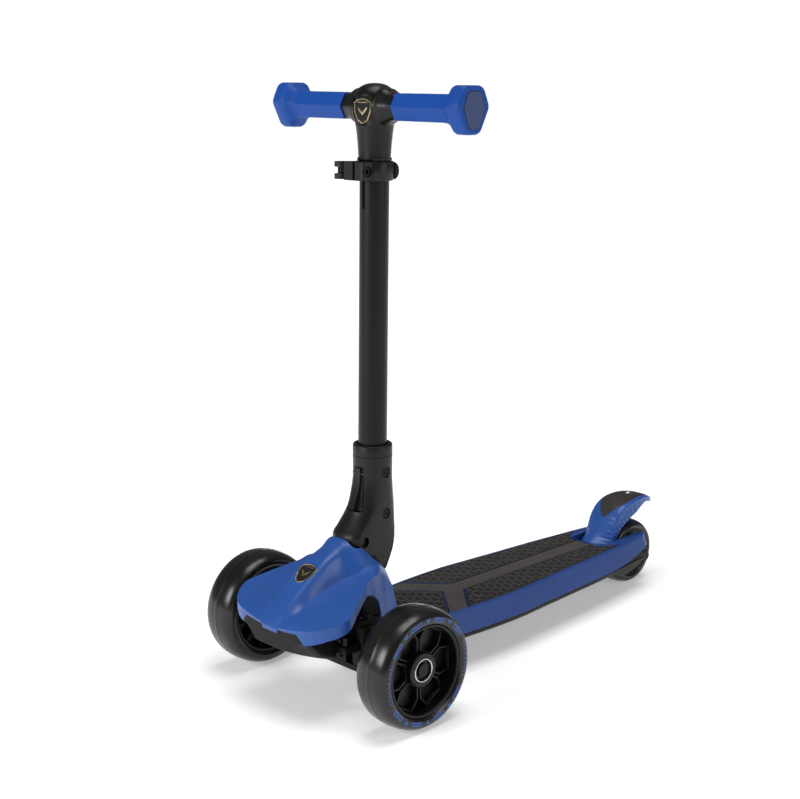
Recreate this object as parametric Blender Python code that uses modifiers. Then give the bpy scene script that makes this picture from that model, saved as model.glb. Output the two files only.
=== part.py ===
"""A child's kick scooter with two steering front wheels and one rear wheel.

The front of the scooter is -Y, the rider's left is +X and +Z is up.  Lengths are written in
millimetres, with Y counted from the front axle line, and are turned into metres by vec().
"""
import math

import bmesh
import bpy
from mathutils import Matrix, Vector

MM = 0.001
GAP = 0.3                     # space left between two pieces that touch

# Running gear
FRONT_AXLE_OFFSET = -220.0    # the front axle line, from the middle of the scooter's length
WHEELBASE = 473.0
TRACK_HALF = 115.3
FRONT_RADIUS = 60.0
REAR_RADIUS = 39.5
KINGPIN = (56.0, -10.0)       # X and Y of the left kingpin
AXLE_RADIUS = 4.0

# Stem
RAKE = math.radians(0.884)    # the stem leans back by this much
BAR_AXIS = (61.5, 581.35)     # Y and Z of the handlebar's axis
FOLD_AXIS = (27.2, 154.4)     # Y and Z of the folding joint
HEEL_RADIUS = 52.6            # the heel of the neck turns inside the hood
STEM_RADIUS = 14.5
NECK_RADIUS = 20.0
CLAMP_BELOW_BAR = 61.0        # from the bar's axis down to the clamp's middle
CLAMP_PIN = (-23.5, -21.5)    # the lever's pin, seen from above, from the stem's axis

# Deck
DECK_TOP = 64.5
DECK_UNDERSIDE = 41.0
TAIL_LINE = ((400, 41), (425, 42.8), (450, 46), (470, 49), (500, 53))    # under the blue shell
DECK_FRONT = 62.0
FLARE = 8.0                   # how much wider the deck is at its lower edge
DECK_HALF_WIDTHS = ((62, 46), (90, 49.5), (130, 53), (170, 55.5), (215, 56), (260, 52.5),
                    (305, 49), (354, 45.5), (400, 41), (430, 38), (456, 34.5), (474, 31.5))
FORK_GAP_HALF = 21.5
FORK_ROOT = 430.0
FORK_END = 484.0
STRIP_HALF = 10.5             # the smooth strip between the treads
BRAKE_AXIS = (413.0, 57.0)    # Y and Z of the brake's hinge

COLOURS = {
    "blue": ((0.025, 0.085, 0.36), 0.32, 0.15),
    "black_gloss": ((0.014, 0.014, 0.015), 0.3, 0.0),
    "black_matte": ((0.02, 0.02, 0.021), 0.6, 0.0),
    "tyre": ((0.022, 0.022, 0.022), 0.35, 0.0),
    "tread": ((0.03, 0.03, 0.032), 0.75, 0.0),
    "tube": ((0.012, 0.012, 0.013), 0.28, 0.6),
    "steel": ((0.55, 0.55, 0.56), 0.3, 1.0),
    "badge": ((0.35, 0.30, 0.22), 0.35, 0.8),
}


def vec(x, y, z):
    """A point in metres, from millimetres with Y counted from the front axle."""
    return Vector((x, y + FRONT_AXLE_OFFSET, z)) * MM


def clear_scene():
    for obj in list(bpy.data.objects):
        bpy.data.objects.remove(obj, do_unlink=True)


def make_collection(name):
    collection = bpy.data.collections.new(name)
    bpy.context.scene.collection.children.link(collection)
    return collection


clear_scene()
PARTS = make_collection("kick_scooter")
CUTTERS = make_collection("cutters")


def material(name, look):
    colour, roughness, metallic = COLOURS[look]
    mat = bpy.data.materials.new(name)
    mat.use_nodes = True
    shader = mat.node_tree.nodes["Principled BSDF"]
    shader.inputs["Base Color"].default_value = (*colour, 1.0)
    shader.inputs["Roughness"].default_value = roughness
    shader.inputs["Metallic"].default_value = metallic
    return mat


def add_object(name, mesh, look):
    """Put a mesh in the scene: in the scooter with a look, or as a hidden tool without one."""
    obj = bpy.data.objects.new(name, mesh)
    if look is None:
        CUTTERS.objects.link(obj)
        obj.hide_render = True
        obj.display_type = "WIRE"
    else:
        PARTS.objects.link(obj)
        mesh.materials.append(material(name, look))
    return obj


def finish_mesh(name, bm, look):
    bmesh.ops.recalc_face_normals(bm, faces=bm.faces)
    mesh = bpy.data.meshes.new(name)
    bm.to_mesh(mesh)
    bm.free()
    mesh.shade_smooth()
    mesh.set_sharp_from_angle(angle=math.radians(35))
    return add_object(name, mesh, look)


def block(name, low, high, look=None, bevel=0.0):
    """A box between two corners."""
    bm = bmesh.new()
    bmesh.ops.create_cube(bm, size=1.0)
    size = [(h - l) * MM for l, h in zip(low, high)]
    bmesh.ops.scale(bm, vec=size, verts=bm.verts)
    obj = finish_mesh(name, bm, look)
    obj.location = vec(*[(l + h) / 2 for l, h in zip(low, high)])
    if bevel:
        edge = obj.modifiers.new("rounded", "BEVEL")
        edge.width = bevel * MM
        edge.segments = 2
    return obj


def rod(name, radius, start, end, look=None, sides=20, end_radius=None):
    """A round bar or a cone between two points."""
    start, end = vec(*start), vec(*end)
    run = end - start
    bm = bmesh.new()
    last = radius if end_radius is None else end_radius
    bmesh.ops.create_cone(bm, cap_ends=True, segments=sides, radius1=radius * MM,
                          radius2=last * MM, depth=run.length)
    obj = finish_mesh(name, bm, look)
    obj.location = (start + end) / 2
    obj.rotation_euler = run.to_track_quat("Z", "Y").to_euler()
    return obj


def turned(name, profile, look=None, steps=28):
    """A closed profile of (radius, height) points, turned about the object's own Z."""
    mesh = bpy.data.meshes.new(name)
    points = [(r * MM, 0.0, h * MM) for r, h in profile]
    edges = [(i, (i + 1) % len(points)) for i in range(len(points))]
    mesh.from_pydata(points, edges, [])
    obj = add_object(name, mesh, look)
    screw = obj.modifiers.new("turn", "SCREW")
    screw.steps = steps
    screw.render_steps = steps
    screw.use_merge_vertices = True
    screw.merge_threshold = 0.00001
    screw.use_smooth_shade = True
    return obj


def outline_solid(name, outline, low, high, look=None, along="Z"):
    """A flat outline with a thickness: (x, y) points along Z, or (y, z) points along X."""
    curve = bpy.data.curves.new(name + "_outline", "CURVE")
    curve.dimensions = "2D"
    curve.fill_mode = "BOTH"
    curve.extrude = (high - low) / 2 * MM
    spline = curve.splines.new("POLY")
    spline.points.add(len(outline) - 1)
    for point, (a, b) in zip(spline.points, outline):
        point.co = (a * MM, b * MM, 0.0, 1.0)
    spline.use_cyclic_u = True
    flat = bpy.data.objects.new(name + "_outline", curve)
    bpy.context.scene.collection.objects.link(flat)
    middle = (low + high) / 2
    if along == "Z":
        flat.location = vec(0, 0, middle)
    else:
        flat.location = vec(middle, 0, 0)
        flat.rotation_euler = (math.radians(90), 0, math.radians(90))
    bpy.context.view_layer.update()
    evaluated = flat.evaluated_get(bpy.context.evaluated_depsgraph_get())
    mesh = bpy.data.meshes.new_from_object(evaluated)
    bm = bmesh.new()
    bm.from_mesh(mesh)
    bmesh.ops.remove_doubles(bm, verts=bm.verts, dist=0.000001)
    obj = finish_mesh(name, bm, look)
    obj.matrix_world = flat.matrix_world.copy()
    bpy.data.objects.remove(flat, do_unlink=True)
    bpy.data.meshes.remove(mesh)
    return obj


def loft(name, rings, look=None):
    """A closed skin over rings of points with the same count."""
    bm = bmesh.new()
    rows = [[bm.verts.new(vec(*p)) for p in ring] for ring in rings]
    count = len(rows[0])
    for lower, upper in zip(rows, rows[1:]):
        for i in range(count):
            j = (i + 1) % count
            bm.faces.new((lower[i], lower[j], upper[j], upper[i]))
    bm.faces.new(rows[0])
    bm.faces.new(rows[-1])
    return finish_mesh(name, bm, look)


def combine(target, tool, operation):
    tool.hide_render = True
    tool.display_type = "WIRE"
    step = target.modifiers.new(operation.lower() + "_" + tool.name, "BOOLEAN")
    step.operation = operation
    step.object = tool
    step.solver = "EXACT"


def cut(target, *tools):
    for tool in tools:
        combine(target, tool, "DIFFERENCE")


def join(target, *tools):
    for tool in tools:
        combine(target, tool, "UNION")


def pivot(name, x, y, z, parent=None):
    """An empty on a joint's axis, for the pieces that move there."""
    empty = bpy.data.objects.new(name, None)
    PARTS.objects.link(empty)
    empty.empty_display_size = 0.02
    empty.location = vec(x, y, z)
    if parent is not None:
        hang(parent, empty)
    return empty


def hang(parent, *children):
    """Parent objects without moving them."""
    bpy.context.view_layer.update()
    for child in children:
        child.parent = parent
        child.matrix_parent_inverse = parent.matrix_world.inverted()


def on_stem(*objects):
    """Lean pieces that were made upright, about the bar's axis, with the stem."""
    centre = vec(0, *BAR_AXIS)
    lean = Matrix.Translation(centre) @ Matrix.Rotation(-RAKE, 4, "X") @ Matrix.Translation(-centre)
    bpy.context.view_layer.update()
    for obj in objects:
        obj.matrix_world = lean @ obj.matrix_world


def arc(radius, start, end, steps, centre=(0.0, 0.0)):
    """Points on an arc, with angles in degrees."""
    turns = [math.radians(start + (end - start) * i / steps) for i in range(steps + 1)]
    return [(centre[0] + radius * math.cos(t), centre[1] + radius * math.sin(t)) for t in turns]


def mirrored(half):
    """A whole outline from its +X half, which starts and ends near the centre line."""
    return list(half) + [(-x, y) for x, y in reversed(half) if x > 0.001]


# ---------------------------------------------------------------- deck

def fork_half(widths, extra, root):
    """The +X half of the deck seen from above, with the rear wheel's slot."""
    half = [(w + extra, y) for y, w in widths]
    return half + [(28 + extra, FORK_END), (FORK_GAP_HALF, FORK_END), (FORK_GAP_HALF, root)]


def half_width(y):
    """Half the deck's width at its upper edge."""
    for (y0, w0), (y1, w1) in zip(DECK_HALF_WIDTHS, DECK_HALF_WIDTHS[1:]):
        if y <= y1:
            return w0 + (w1 - w0) * (y - y0) / (y1 - y0)
    return DECK_HALF_WIDTHS[-1][1]


def along_rim(start, end, inset):
    """The +X side of the deck's upper edge, moved inwards."""
    stops = [start] + [y for y, _ in DECK_HALF_WIDTHS if start < y < end] + [end]
    return [(half_width(y) - inset, y) for y in stops]


def deck_shell():
    top = mirrored(fork_half(DECK_HALF_WIDTHS, 0.0, FORK_ROOT))
    low = mirrored(fork_half(DECK_HALF_WIDTHS, FLARE, FORK_ROOT))
    rings = [[(x, y, DECK_UNDERSIDE) for x, y in low], [(x, y, DECK_TOP) for x, y in top]]
    shell = loft("deck_shell", rings, "blue")
    rise = [(388, 30)] + list(TAIL_LINE) + [(500, 30)]
    lug_room = outline_solid("lug_room", rise, -75, 75, along="X")
    hollow = [(half_width(62) - 3.5, 55)] + along_rim(66, 395, 3.5)
    cavity = outline_solid("deck_cavity", mirrored(hollow), 30, 57)
    tray = along_rim(66, 400, 2.5) + [(35.5, 426), (24.5, 403), (12, 400)]
    recess = outline_solid("tread_recess", mirrored(tray), 60.5, 70)
    pocket = block("brake_pocket", (-22.5, 401.5, 50), (22.5, 440, 70))
    pin_hole = rod("brake_pin_hole", 2.3, (-28, *BRAKE_AXIS), (28, *BRAKE_AXIS))
    cut(shell, lug_room, cavity, recess, pocket, pin_hole)
    return shell


def under_tray():
    plate = mirrored(fork_half(DECK_HALF_WIDTHS, FLARE - 0.6, FORK_ROOT))
    tray = outline_solid("under_tray", plate, 35.0, DECK_UNDERSIDE - GAP - 0.1, "black_matte")
    lug_side = [(407, 36), (411, 30.5), (418, 27.5), (430, 27), (445, 28.5), (457, 32), (472, 37),
                (481, 42.5), (485, 49.5), (470, 48.3), (450, 45.3), (425, 42.1), (407, 41.0)]
    room = mirrored(fork_half(DECK_HALF_WIDTHS, FLARE - 1.8, FORK_ROOT))
    for side, low, high in (("left", 22, 60), ("right", -60, -22)):
        lug = outline_solid("wheel_lug_" + side, lug_side, low, high, along="X")
        combine(lug, outline_solid("lug_room_" + side, room, 10, 70), "INTERSECT")
        join(tray, lug)
    axle = (WHEELBASE, REAR_RADIUS)
    bore = rod("rear_axle_hole", 4.3, (-45, *axle), (45, *axle))
    cut(tray, bore)
    for side in (-1, 1):
        cut(tray, rod("axle_head_seat_%d" % side, 6.8, (side * 35.5, *axle), (side * 45, *axle)))
        cut(tray, rod("screw_hole_%d" % side, 2.3, (side * 24, 88, 30), (side * 24, 88, 50)))
    return tray


def tread_outline(side):
    """One long tread beside the strip, seen from above."""
    points = [(STRIP_HALF + 0.4, 183)] + along_rim(147, 400, 2.9)
    points += [(35.2, 424.6), (25.2, 402.4), (STRIP_HALF + 0.4, 399.2)]
    return [(side * x, y) for x, y in points]


def treads():
    for side, label in ((1, "left"), (-1, "right")):
        outline_solid("tread_" + label, tread_outline(side), 60.9, DECK_TOP + 0.3, "tread")
    front = along_rim(66.5, 117, 2.9)
    front = mirrored(front + [(0, 159.5)])
    outline_solid("tread_front", front, 60.9, DECK_TOP + 0.3, "tread")
    arms = [(0, 160.5)] + along_rim(118.5, 145, 2.9)
    strip = mirrored(arms + [(STRIP_HALF, 181.5), (STRIP_HALF, 399)])
    outline_solid("centre_strip", strip, 60.9, DECK_TOP - 0.2, "black_matte")


def chassis():
    base = block("chassis", (-38, -24, 52), (38, 58, 84), "black_matte", bevel=2.0)
    upper = outline_solid("upper_ears", [(-64, -21), (64, -21), (64, 1), (-64, 1)], 88.6, 95)
    lower = outline_solid("lower_ears", [(-64, -21), (64, -21), (64, 1), (-64, 1)], 43, 48.6)
    web = block("ear_web", (-43, -21, 43), (43, 1, 95))
    nose = block("chassis_nose", (-30, -39.5, 58), (30, -20, 70))
    tongue = block("deck_tongue", (-37, 50, 44), (37, 118, 56.5))
    lug = block("fold_lug_post", (-6.4, 17.7, 80), (6.4, 36.7, 154.4))
    eye = rod("fold_lug_eye", 9.5, (-6.4, *FOLD_AXIS), (6.4, *FOLD_AXIS), sides=28)
    join(base, web, upper, lower, nose, tongue, lug, eye)
    cut(base, rod("fold_lug_bore", 4.3, (-10, *FOLD_AXIS), (10, *FOLD_AXIS)))
    for side in (-1, 1):
        x, y = side * KINGPIN[0], KINGPIN[1]
        cut(base, rod("kingpin_hole_%d" % side, 4.3, (x, y, 38), (x, y, 100)))
        cut(base, rod("tongue_hole_%d" % side, 2.3, (side * 24, 88, 40), (side * 24, 88, 54)))
    return base


def front_bumper():
    """A shallow tub below the hood's nose, with a raised middle that meets the hood's lip."""
    low = [(20, -57.5), (36, -54), (44, -48), (46, -40.2)]
    edge = [(24, -77), (37, -75), (45, -69), (49, -40.2)]
    top = [(24, -78.2), (38, -76.6), (46, -71.5), (50, -40.2)]
    rings = [[(x, y, height) for x, y in mirrored(half)]
             for half, height in ((low, 58), (edge, 70.5), (top, 81.5))]
    tub = loft("front_bumper", rings, "black_matte")
    middle = outline_solid("bumper_middle", mirrored([(24, -78.1), (36, -76.8), (36, -68)]), 80, 89.3)
    inner = [(24, -73.5), (36, -72), (43, -67), (46, -43.4)]
    join(tub, middle)
    cut(tub, outline_solid("bumper_hollow", mirrored(inner), 74, 95))
    return tub


HOOD_ROWS = (  # from front to back; each row runs from the centre line out to the lip's lower edge
    ((0, -81, 86), (10.5, -81, 86), (12.5, -81, 90), (22, -80.6, 90.2), (37.5, -79.5, 91.7),
     (46.5, -77.5, 82.2), (56, -74.5, 84.7), (62.5, -71, 87.3), (64, -70.3, 88)),
    ((0, -82.5, 91), (10.5, -82.3, 91.2), (13, -82, 92.4), (22, -81.6, 93.6), (38, -80.6, 96),
     (47.5, -79, 97.8), (57, -76, 99.4), (64.3, -70.2, 101.2), (64.8, -69.6, 88.3)),
    ((0, -78, 98.5), (10.5, -78, 98.5), (14, -78, 97.5), (21.5, -77.5, 97.8), (37, -76, 99.7),
     (48, -74, 100.3), (58, -71, 101.2), (68.5, -65, 102.9), (69, -64.5, 90.2)),
    ((0, -64, 112.5), (10.5, -64, 112), (16, -64.5, 107.5), (21, -64.5, 104.8), (36, -62, 105.4),
     (50, -60.5, 105.3), (62, -58.5, 105.2), (74, -57.5, 105.1), (74.3, -57, 92.7)),
    ((0, -48, 124), (11, -48, 123.5), (16.5, -48.5, 116), (20, -49, 111), (36, -48, 110.2),
     (52, -47, 109.9), (65, -46.5, 109.4), (76.5, -48, 108.8), (76.8, -47.5, 96.5)),
    ((0, -33, 134.5), (11, -33, 134), (16.5, -34, 124.5), (19.5, -34.5, 116), (34, -35, 114.7),
     (48, -35.5, 113.9), (61, -36, 113.2), (72.5, -38, 112.4), (73, -37.5, 101)),
    ((0, -16, 146.5), (11.5, -16, 145), (17.5, -16, 134), (20.5, -17, 122.5), (32, -19, 121),
     (44, -21, 119.6), (55, -23, 118.3), (64.5, -24, 117.6), (65, -23.5, 106.5)),
    ((0, -4, 152.5), (11.5, -3, 150.5), (19, -1, 140), (26, -1, 127.5), (35, -4, 126),
     (44, -6.5, 124.5), (51, -8.5, 123.3), (57, -9.2, 122.5), (57.5, -9, 112.5)),
    ((0, 9, 159), (12, 9, 155.5), (21, 10, 146), (32, 11, 131.5), (38, 9, 130),
     (43, 6.5, 128.5), (47.5, 4, 127.3), (51, 1.4, 126), (52, 2, 114.3)),
    ((0, 20, 156), (13, 20, 154), (21.5, 20, 147), (33, 18, 135), (37, 17, 133.8),
     (41, 16, 132.6), (44.5, 14.5, 131), (48, 12, 129.8), (52, 12.9, 107.7)),
    ((0, 31, 146), (14, 31, 145), (21.5, 31, 141.5), (31, 29, 136.5), (34.5, 28, 135.5),
     (38, 27, 134), (41, 26, 132), (44, 24, 128), (52, 20, 88)),
    ((0, 42, 133), (14, 42, 133), (21.5, 42, 132), (25, 42, 131), (29, 41, 129.5),
     (32, 40, 127.5), (35, 39, 124.5), (37.5, 38, 119.5), (49, 36, 76)),
    ((0, 54, 122), (14, 54, 122), (20, 53.5, 121.5), (22, 53, 120.5), (24.5, 52.5, 118.5),
     (27, 52, 116), (30, 51.5, 112.5), (34, 51, 107.5), (47, 49, 76)),
)


def hood():
    bm = bmesh.new()
    rows = []
    for half in HOOD_ROWS:
        line = [(-x, y, z) for x, y, z in reversed(half[1:])] + list(half)
        rows.append([bm.verts.new(vec(*p)) for p in line])
    for front, back in zip(rows, rows[1:]):
        for i in range(len(front) - 1):
            bm.faces.new((front[i], front[i + 1], back[i + 1], back[i]))
    mesh = bpy.data.meshes.new("hood")
    bm.to_mesh(mesh)
    bm.free()
    shell = add_object("hood", mesh, "blue")
    wall = shell.modifiers.new("wall", "SOLIDIFY")
    wall.thickness = 2.4 * MM
    wall.offset = -1.0
    wall.use_even_offset = True
    reach, corner = NECK_RADIUS + 1.1, 7.0
    front = arc(corner, 180, 270, 6, centre=(corner - reach, 10.5 + corner)) + \
        arc(corner, 270, 360, 6, centre=(reach - corner, 10.5 + corner))
    cut(shell, outline_solid("neck_notch", front + [(reach, 90), (-reach, 90)], 88, 200))
    cut(shell, badge_plate("hood_badge_pocket", 1.06, (-1.1, 6), None))
    return shell


SHIELD_HALF = ((0, -13.0), (5.5, -9.5), (8.6, -2.0), (9.3, 6.5), (5.5, 9.2), (0, 10.2))


def badge_plate(name, scale, span, look):
    """A plain shield on the hood's spine, between two heights above the surface."""
    outline = [(x * scale, y * scale) for x, y in mirrored(SHIELD_HALF)]
    plate = outline_solid(name, outline, span[0], span[1], look)
    slope = math.atan2(134.5 - 124.0, 15.0)
    seat = vec(0, -34.5, 133.45)
    plate.matrix_world = Matrix.Translation(seat) @ Matrix.Rotation(slope, 4, "X") @ \
        Matrix.Translation((0, 0, (span[0] + span[1]) / 2 * MM))
    return plate


def fold_pin():
    return rod("fold_pin", 4.0, (-16.5, *FOLD_AXIS), (16.5, *FOLD_AXIS), "steel")


# ---------------------------------------------------------------- steering and wheels

def kingpins():
    for side, label in ((1, "left"), (-1, "right")):
        x, y = side * KINGPIN[0], KINGPIN[1]
        pin = rod("kingpin_" + label, 4.0, (x, y, 42.5), (x, y, 95.5), "steel")
        join(pin, rod("kingpin_head_" + label, 6.5, (x, y, 95.3), (x, y, 98.5)))


def knuckle(side, label):
    """The upright barrel, the stub towards the wheel and the steering arm of one front wheel."""
    x, y = side * KINGPIN[0], KINGPIN[1]
    body = rod("knuckle_" + label, 10.5, (x, y, 48.9), (x, y, 88.3), "black_matte", sides=24)
    stub = block("stub_" + label, (min(x, side * 92), -11, 50.5), (max(x, side * 92), 11, 69.5))
    collar = rod("stub_collar_" + label, 15, (side * 89, 0, 60), (side * 99.6, 0, 60), sides=28)
    arm = block("steering_arm_" + label, (x - 6.5, -39, 66), (x + 6.5, -10, 73))
    join(body, stub, collar, arm)
    cut(body, rod("barrel_bore_" + label, 4.3, (x, y, 40), (x, y, 100)),
        rod("stub_bore_" + label, 4.3, (side * 69.6, 0, 60), (side * 104, 0, 60)),
        rod("arm_bore_" + label, 3.8, (x, -32, 60), (x, -32, 80)))
    return body


def tie_rod():
    bar = rod("tie_rod", 3.2, (-54, -32, 78), (54, -32, 78), "steel", sides=16)
    for side in (-1, 1):
        x = side * KINGPIN[0]
        join(bar, rod("tie_eye_%d" % side, 5.5, (x, -32, 73.8), (x, -32, 82)),
             rod("tie_pin_%d" % side, 2.2, (x, -32, 66), (x, -32, 74.5), sides=12))
    return bar


def wheel_place(obj, side, outward):
    """Turn a piece made about Z so that its +Z points out of the left or right wheel."""
    obj.rotation_euler = (0, math.radians(90 * side), 0)
    obj.location = vec(side * (TRACK_HALF + outward), 0, FRONT_RADIUS)


TYRE_PROFILE = ((46.2, 18.6), (50, 20.3), (54, 20.2), (57.4, 16.6), (59.4, 10), (60, 0),
                (59.4, -10), (57.4, -16.6), (54, -20.2), (50, -20.3), (46.2, -18.6))
HUB_PROFILE = ((45.8, 18), (45.8, -18), (42.5, -18), (42.5, -6), (18, -6), (15.5, -15), (11.4, -15),
               (11.4, 11.6), (12.0, 11.6), (12.0, 14.4), (15, 14.4), (17, 7), (42.5, 7), (42.5, 18))
RING_PROFILE = ((11.6, 14.2), (11.6, 11.9), (8.6, 11.9), (8.6, 14.2))
BEARING_PROFILE = ((11.1, 11.5), (11.1, 4.5), (6, 4.5), (6, -7.5), (11.1, -7.5), (11.1, -14.5),
                   (4.3, -14.5), (4.3, 11.5))


def front_wheel(side, label):
    pieces = []
    for name, profile, look, steps in (("front_tyre_", TYRE_PROFILE, "tyre", 36),
                                       ("front_hub_", HUB_PROFILE, "black_gloss", 28),
                                       ("hub_ring_", RING_PROFILE, "steel", 24),
                                       ("front_bearings_", BEARING_PROFILE, "steel", 20)):
        piece = turned(name + label, profile, look, steps)
        wheel_place(piece, side, 0)
        pieces.append(piece)
    return pieces


def front_axle(side, label):
    start = (side * 70, 0, FRONT_RADIUS)
    shank_end = (side * (TRACK_HALF + 12.2), 0, FRONT_RADIUS)
    bolt = rod("front_axle_" + label, AXLE_RADIUS, start, shank_end, "steel")
    head = rod("axle_head_" + label, 6.6, (side * (TRACK_HALF + 11.9), 0, FRONT_RADIUS),
               (side * (TRACK_HALF + 14.5), 0, FRONT_RADIUS), sides=24)
    join(bolt, head)
    return bolt


def rear_wheel():
    half = 19.0
    tyre = turned("rear_tyre", ((29.3, half - 1.2), (33, half), (36.4, half - 2.2), (38.6, half - 7),
                                (39.5, 0), (38.6, 7 - half), (36.4, 2.2 - half), (33, -half),
                                (29.3, 1.2 - half)), "tyre")
    hub = turned("rear_hub", ((28.9, 17.5), (28.9, -17.5), (25.5, -17.5), (25.5, -5), (15, -5),
                              (13.5, -16), (11.4, -16), (11.4, 16), (13.5, 16), (15, 5), (25.5, 5),
                              (25.5, 17.5)), "black_gloss")
    pieces = [tyre, hub]
    for name, low, high in (("rear_bearing_left", 9, 16), ("rear_bearing_right", -16, -9)):
        outer, inner = (21.2, 9) if low > 0 else (-9, -21.2)
        race = ((11.1, high), (11.1, low), (6.5, low), (6.5, inner), (4.3, inner), (4.3, outer),
                (6.5, outer), (6.5, high))
        pieces.append(turned(name, race, "steel", 24))
    for piece in pieces:
        piece.rotation_euler = (0, math.radians(90), 0)
        piece.location = vec(0, WHEELBASE, REAR_RADIUS)
    return pieces


def rear_axle():
    centre = (WHEELBASE, REAR_RADIUS)
    axle = rod("rear_axle", AXLE_RADIUS, (-36, *centre), (36, *centre), "steel")
    for side in (-1, 1):
        join(axle, rod("axle_cap_%d" % side, 6.2, (side * 35.9, *centre), (side * 38.6, *centre)))
    return axle


# ---------------------------------------------------------------- brake

def brake_ring(top, bottom, half_width):
    """A rounded section between a top and a bottom point of the side view."""
    ring = []
    for corner_x, corner_t in ((0, 1.0), (0.72, 0.96), (1.0, 0.72), (1.0, 0.28), (0.72, 0.04),
                               (0, 0.0), (-0.72, 0.04), (-1.0, 0.28), (-1.0, 0.72), (-0.72, 0.96)):
        y = bottom[0] + (top[0] - bottom[0]) * corner_t
        z = bottom[1] + (top[1] - bottom[1]) * corner_t
        ring.append((corner_x * half_width, y, z))
    return ring


BRAKE_SECTIONS = (  # front or top point, rear or lower point, half width
    ((403.5, 53.5), (423, 51.5), 20.5), ((410, 61.5), (434, 58.5), 21), ((421, 66.5), (435.6, 64), 21.2),
    ((430, 74), (438.5, 69.5), 21.3), ((437, 82.5), (444, 74.6), 21.5), ((444, 91), (450.5, 79), 21.8),
    ((452, 98.5), (459, 82.6), 22), ((463, 103), (472, 87.5), 22), ((480, 105.3), (485, 93), 20.5),
    ((496, 104.5), (499, 96.5), 17), ((511, 101.3), (511, 95), 12), ((522.5, 94.8), (522, 91.2), 5))


def brake():
    fender = loft("brake_fender", [brake_ring(*section) for section in BRAKE_SECTIONS], "blue")
    cut(fender, rod("brake_bore", 2.3, (-28, *BRAKE_AXIS), (28, *BRAKE_AXIS)))
    pieces = [fender]
    grip = outline_solid("brake_foot_pad", mirrored([(0, 462), (10, 464), (16, 470), (17, 482), (14, 491),
                                                     (7, 498), (0, 500)]), 106.0, 107.4, "black_matte")
    pieces.append(grip)
    stud = rod("brake_stud", 4.0, (0, 484, 107.7), (0, 484, 108.8), "badge", sides=16)
    pieces.append(stud)
    shoe = block("brake_shoe", (-15, -7, -1.4), (15, 7, 1.4), "black_matte")
    lean = math.atan2(72 - REAR_RADIUS, WHEELBASE - 442)
    centre = Vector((0, WHEELBASE, REAR_RADIUS)) + Vector((0, -math.cos(lean), math.sin(lean))) * 42.9
    shoe.matrix_world = Matrix.Translation(vec(*centre)) @ Matrix.Rotation(math.pi / 2 - lean, 4, "X")
    pieces.append(shoe)
    return pieces


def brake_pin():
    return rod("brake_pin", 2.0, (-26.5, *BRAKE_AXIS), (26.5, *BRAKE_AXIS), "steel", sides=16)


# ---------------------------------------------------------------- neck

NECK_SECTIONS = (  # height, front, rear, half the width and the depth of the front's rounding
    (107.6, 49.5, 52.5, 8, 1.5), (113, 45.9, 59.6, 13, 6.8), (120, 40.6, 67.0, 18, 13), (130, 33, 73.4, 19.5, 18),
    (137.4, 27.4, 76.6, 19.5, 18), (140, 19.5, 77.4, 19.5, 16), (145, 13.9, 78.6, 19.5, 13),
    (151, 11.5, 79.4, 19.6, 11), (160, 11.6, 79.4, 19.8, 11), (168, 17.2, 79.0, NECK_RADIUS, 14),
    (184.5, 28.5, 78.3, NECK_RADIUS, 18), (200, 33, 77, NECK_RADIUS, 20), (215, 36, 76, NECK_RADIUS, 20),
    (249, 36.4, 76.4, NECK_RADIUS, 20))
RING_QUARTER = 6


def neck_ring(height, front, rear, half_width_here, front_depth):
    """A section with rounded ends: the front's rounding may be flatter than the rear's."""
    rear_depth = min(half_width_here, (rear - front) / 2)
    ring = []
    for step in range(4 * RING_QUARTER):
        turn = math.radians(-90 + 90 * (step + 0.5) / RING_QUARTER)
        if math.sin(turn) < 0:
            y = front + min(front_depth, (rear - front) / 2) * (1 + math.sin(turn))
        else:
            y = rear - rear_depth * (1 - math.sin(turn))
        ring.append((half_width_here * math.cos(turn), y, height))
    return ring


def neck_shell():
    neck = loft("neck_shell", [neck_ring(*section) for section in NECK_SECTIONS], "black_matte")
    socket = rod("stem_socket", STEM_RADIUS + GAP, (0, BAR_AXIS[0], 171), (0, BAR_AXIS[0], 262),
                 sides=28)
    on_stem(socket)
    slot = block("lug_slot", (-7.2, 16.8, 95), (7.2, 100, 165.2))
    recess = block("lever_recess", (-5.8, 15, 182), (5.8, 39.6, 228))
    pin_bore = rod("fold_pin_bore", 4.3, (-25, *FOLD_AXIS), (25, *FOLD_AXIS))
    lever_bore = rod("lever_pin_bore", 1.1, (-8.6, 37.2, 221), (8.6, 37.2, 221), sides=12)
    cut(neck, socket, slot, recess, pin_bore, lever_bore)
    for side in (-1, 1):
        cut(neck, rod("pin_recess_%d" % side, 5.6, (side * 16.8, *FOLD_AXIS), (side * 25, *FOLD_AXIS)))
    for label, height in (("upper", 221.6), ("lower", 179.0)):
        y = 56.6
        cut(neck, rod("bolt_bore_" + label, 2.8, (-25, y, height), (25, y, height)),
            rod("bolt_seat_" + label, 5.2, (16.0, y, height), (25, y, height)))
    return neck


def neck_bolt(label, height):
    y = 56.6
    bolt = rod("neck_bolt_" + label, 2.4, (-18.5, y, height), (16.5, y, height), "steel", sides=16)
    head = rod("neck_bolt_head_" + label, 4.4, (16.3, y, height), (19.2, y, height))
    socket = rod("neck_bolt_socket_" + label, 2.2, (17.6, y, height), (20, y, height), sides=6)
    join(bolt, head)
    cut(bolt, socket)
    return bolt


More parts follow.
